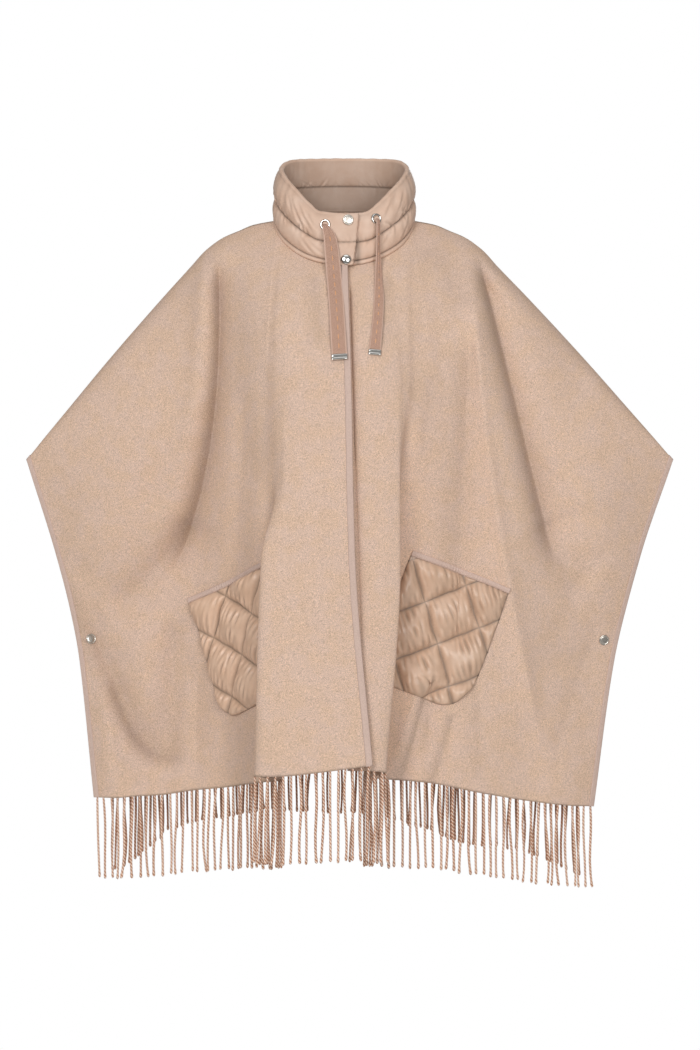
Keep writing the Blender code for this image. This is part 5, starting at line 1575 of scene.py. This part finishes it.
def makeFringe(name, look, node, seed):
    # strands at even steps along the hem, each a thin tube on its own slightly bent line that
    # ends in a small knot; neighbours lean together or apart at random
    rng = np.random.default_rng(seed)
    uneven = fringe["uneven"]
    hem = panelPoints(look["rows"], np.linspace(0, 1, 400), [0.995, 1.0], look["facing"], look["side"])[1]
    run = runAlong(hem)
    margin = fringe["margin"] if look["side"] else fringe["backMargin"]
    count = int((run[-1] - 2 * margin) // fringe["pitch"])
    at = np.linspace(margin, run[-1] - margin, count)
    moved = rng.uniform(-uneven["place"], uneven["place"], count)
    at[1:-1] += moved[1:-1]
    root = lookAlong(at, run, hem)
    along = unit((lookAlong(at + 2, run, hem) - lookAlong(at - 2, run, hem)) * (1, 1, 0))
    share = 1 - np.clip(np.abs(root[:, 0]) / fringe["centreReach"], 0, 1)
    length = fringe["sideLength"] + (fringe["centreLength"] - fringe["sideLength"]) * share
    length = length + rng.uniform(*uneven["length"], count) - fringe["stripGap"]
    steps, thick = np.array(fringe["steps"]), np.array(fringe["thick"])
    drop = -length[:, None] * steps
    lean, sway, second, out = (
        rng.normal(0, uneven[key], count)[:, None] for key in ("lean", "sway", "second", "out"))
    offset = lean * steps**1.5 + sway * np.sin(math.pi * steps) + second * np.sin(2 * math.pi * steps)
    outOff = out * steps**1.3
    across = np.cross(along, (0.0, 0.0, 1.0))
    centre = (root[:, None] + offset[..., None] * along[:, None] + outOff[..., None] * across[:, None])
    centre[..., 2] += drop + 0.6
    angle = circleAngles(fringe["sides"])
    ring = np.cos(angle)[:, None] * along[:, None, None] + np.sin(angle)[:, None] * across[:, None, None]
    wide = rng.uniform(*uneven["wide"], count)[:, None, None, None]
    radius = fringe["radius"] * thick[:, None, None] * wide
    sections = centre[:, :, None] + radius * ring
    around = np.linspace(0, 1, fringe["sides"] + 1)
    turns = -drop / fringe["twistMm"] + rng.uniform(0, 1, count)[:, None]
    uv = np.stack(np.broadcast_arrays(around, turns[:, :, None]), axis=-1)
    shade = rng.uniform(-uneven["shade"], uneven["shade"], count)[:, None, None]
    if not look["side"]:
        # the back's strands get painted shade on the side that faces the body
        shade = shade - fringe["innerShade"] * np.clip(np.sin(angle) + 0.35, 0, 1)
    piece = addTubes(name, sections, yarn, uv, np.broadcast_to(shade, sections.shape[:3]))
    return place(piece, "fringe", node)


fringes = {
    "front_right": makeFringe("fringe_strands_right", panels["front_right"], "fringe_front_right", 3),
    "front_left": makeFringe("fringe_strands_left", panels["front_left"], "fringe_front_left", 4),
    "back": makeFringe("fringe_strands_back", panels["back"], "fringe_back", 6),
}
print("fringe made")


# floor, light and world
studio = {
    "floorZ": -1450.0, "floorRadius": 1500.0, "worldLight": 0.24,
    # place and size in metres, watts
    "lights": {
        "key softbox": ((-1.5, -4.2, 0.8), 1.5, 80.0),
        "fill softbox": ((1.4, -4.3, 0.1), 1.5, 64.0),
        "top softbox": ((0.0, -1.5, 2.5), 2.4, 18.0),
        "back softbox": ((0.3, 4.6, 0.9), 3.4, 85.0),
    },
    "aim": (0.0, 0.0, -0.35),
}


def addStudio():
    angle = circleAngles(96)
    loop = studio["floorRadius"] * np.stack([np.cos(angle), np.sin(angle), np.zeros_like(angle)], axis=1)
    rings = np.stack([loop * share + (0, 0, studio["floorZ"] + rise) for share, rise in
                      ((1.0, -20.0), (1.0, 0.0), (0.66, 0.0), (0.33, 0.0), (0.001, 0.0))])
    material, tree, shader = newMaterial("pale matt studio floor")
    setInputs(tree, shader, Base_Color=hexToLinear("#F4F3F1"), Roughness=0.9)
    addTubes("floor", rings, material)
    for name, (spot, size, watts) in studio["lights"].items():
        data = bpy.data.lights.new(name, "AREA")
        data.shape, data.size, data.energy = "SQUARE", size, watts
        lamp = bpy.data.objects.new(name, data)
        lamp.location = spot
        lamp.rotation_euler = (Vector(studio["aim"]) - Vector(spot)).to_track_quat("-Z", "Y").to_euler()
        bpy.context.scene.collection.objects.link(lamp)
    world = bpy.data.worlds.new("white studio")
    bpy.context.scene.world = world
    world.use_nodes = True
    tree = world.node_tree
    seen = setInputs(tree, tree.nodes["Background"], Color=(1.0, 1.0, 1.0, 1.0))
    lit = addNode(tree, "ShaderNodeBackground", Color=(1.0, 0.985, 0.965, 1.0), Strength=studio["worldLight"])
    path = addNode(tree, "ShaderNodeLightPath")
    mix = addNode(tree, "ShaderNodeMixShader", _0=(path, "Is Camera Ray"), _1=(lit, 0), _2=(seen, 0))
    setInputs(tree, tree.nodes["World Output"], Surface=(mix, 0))
    bpy.context.scene.view_settings.view_transform = "Standard"


addStudio()
print("studio made")
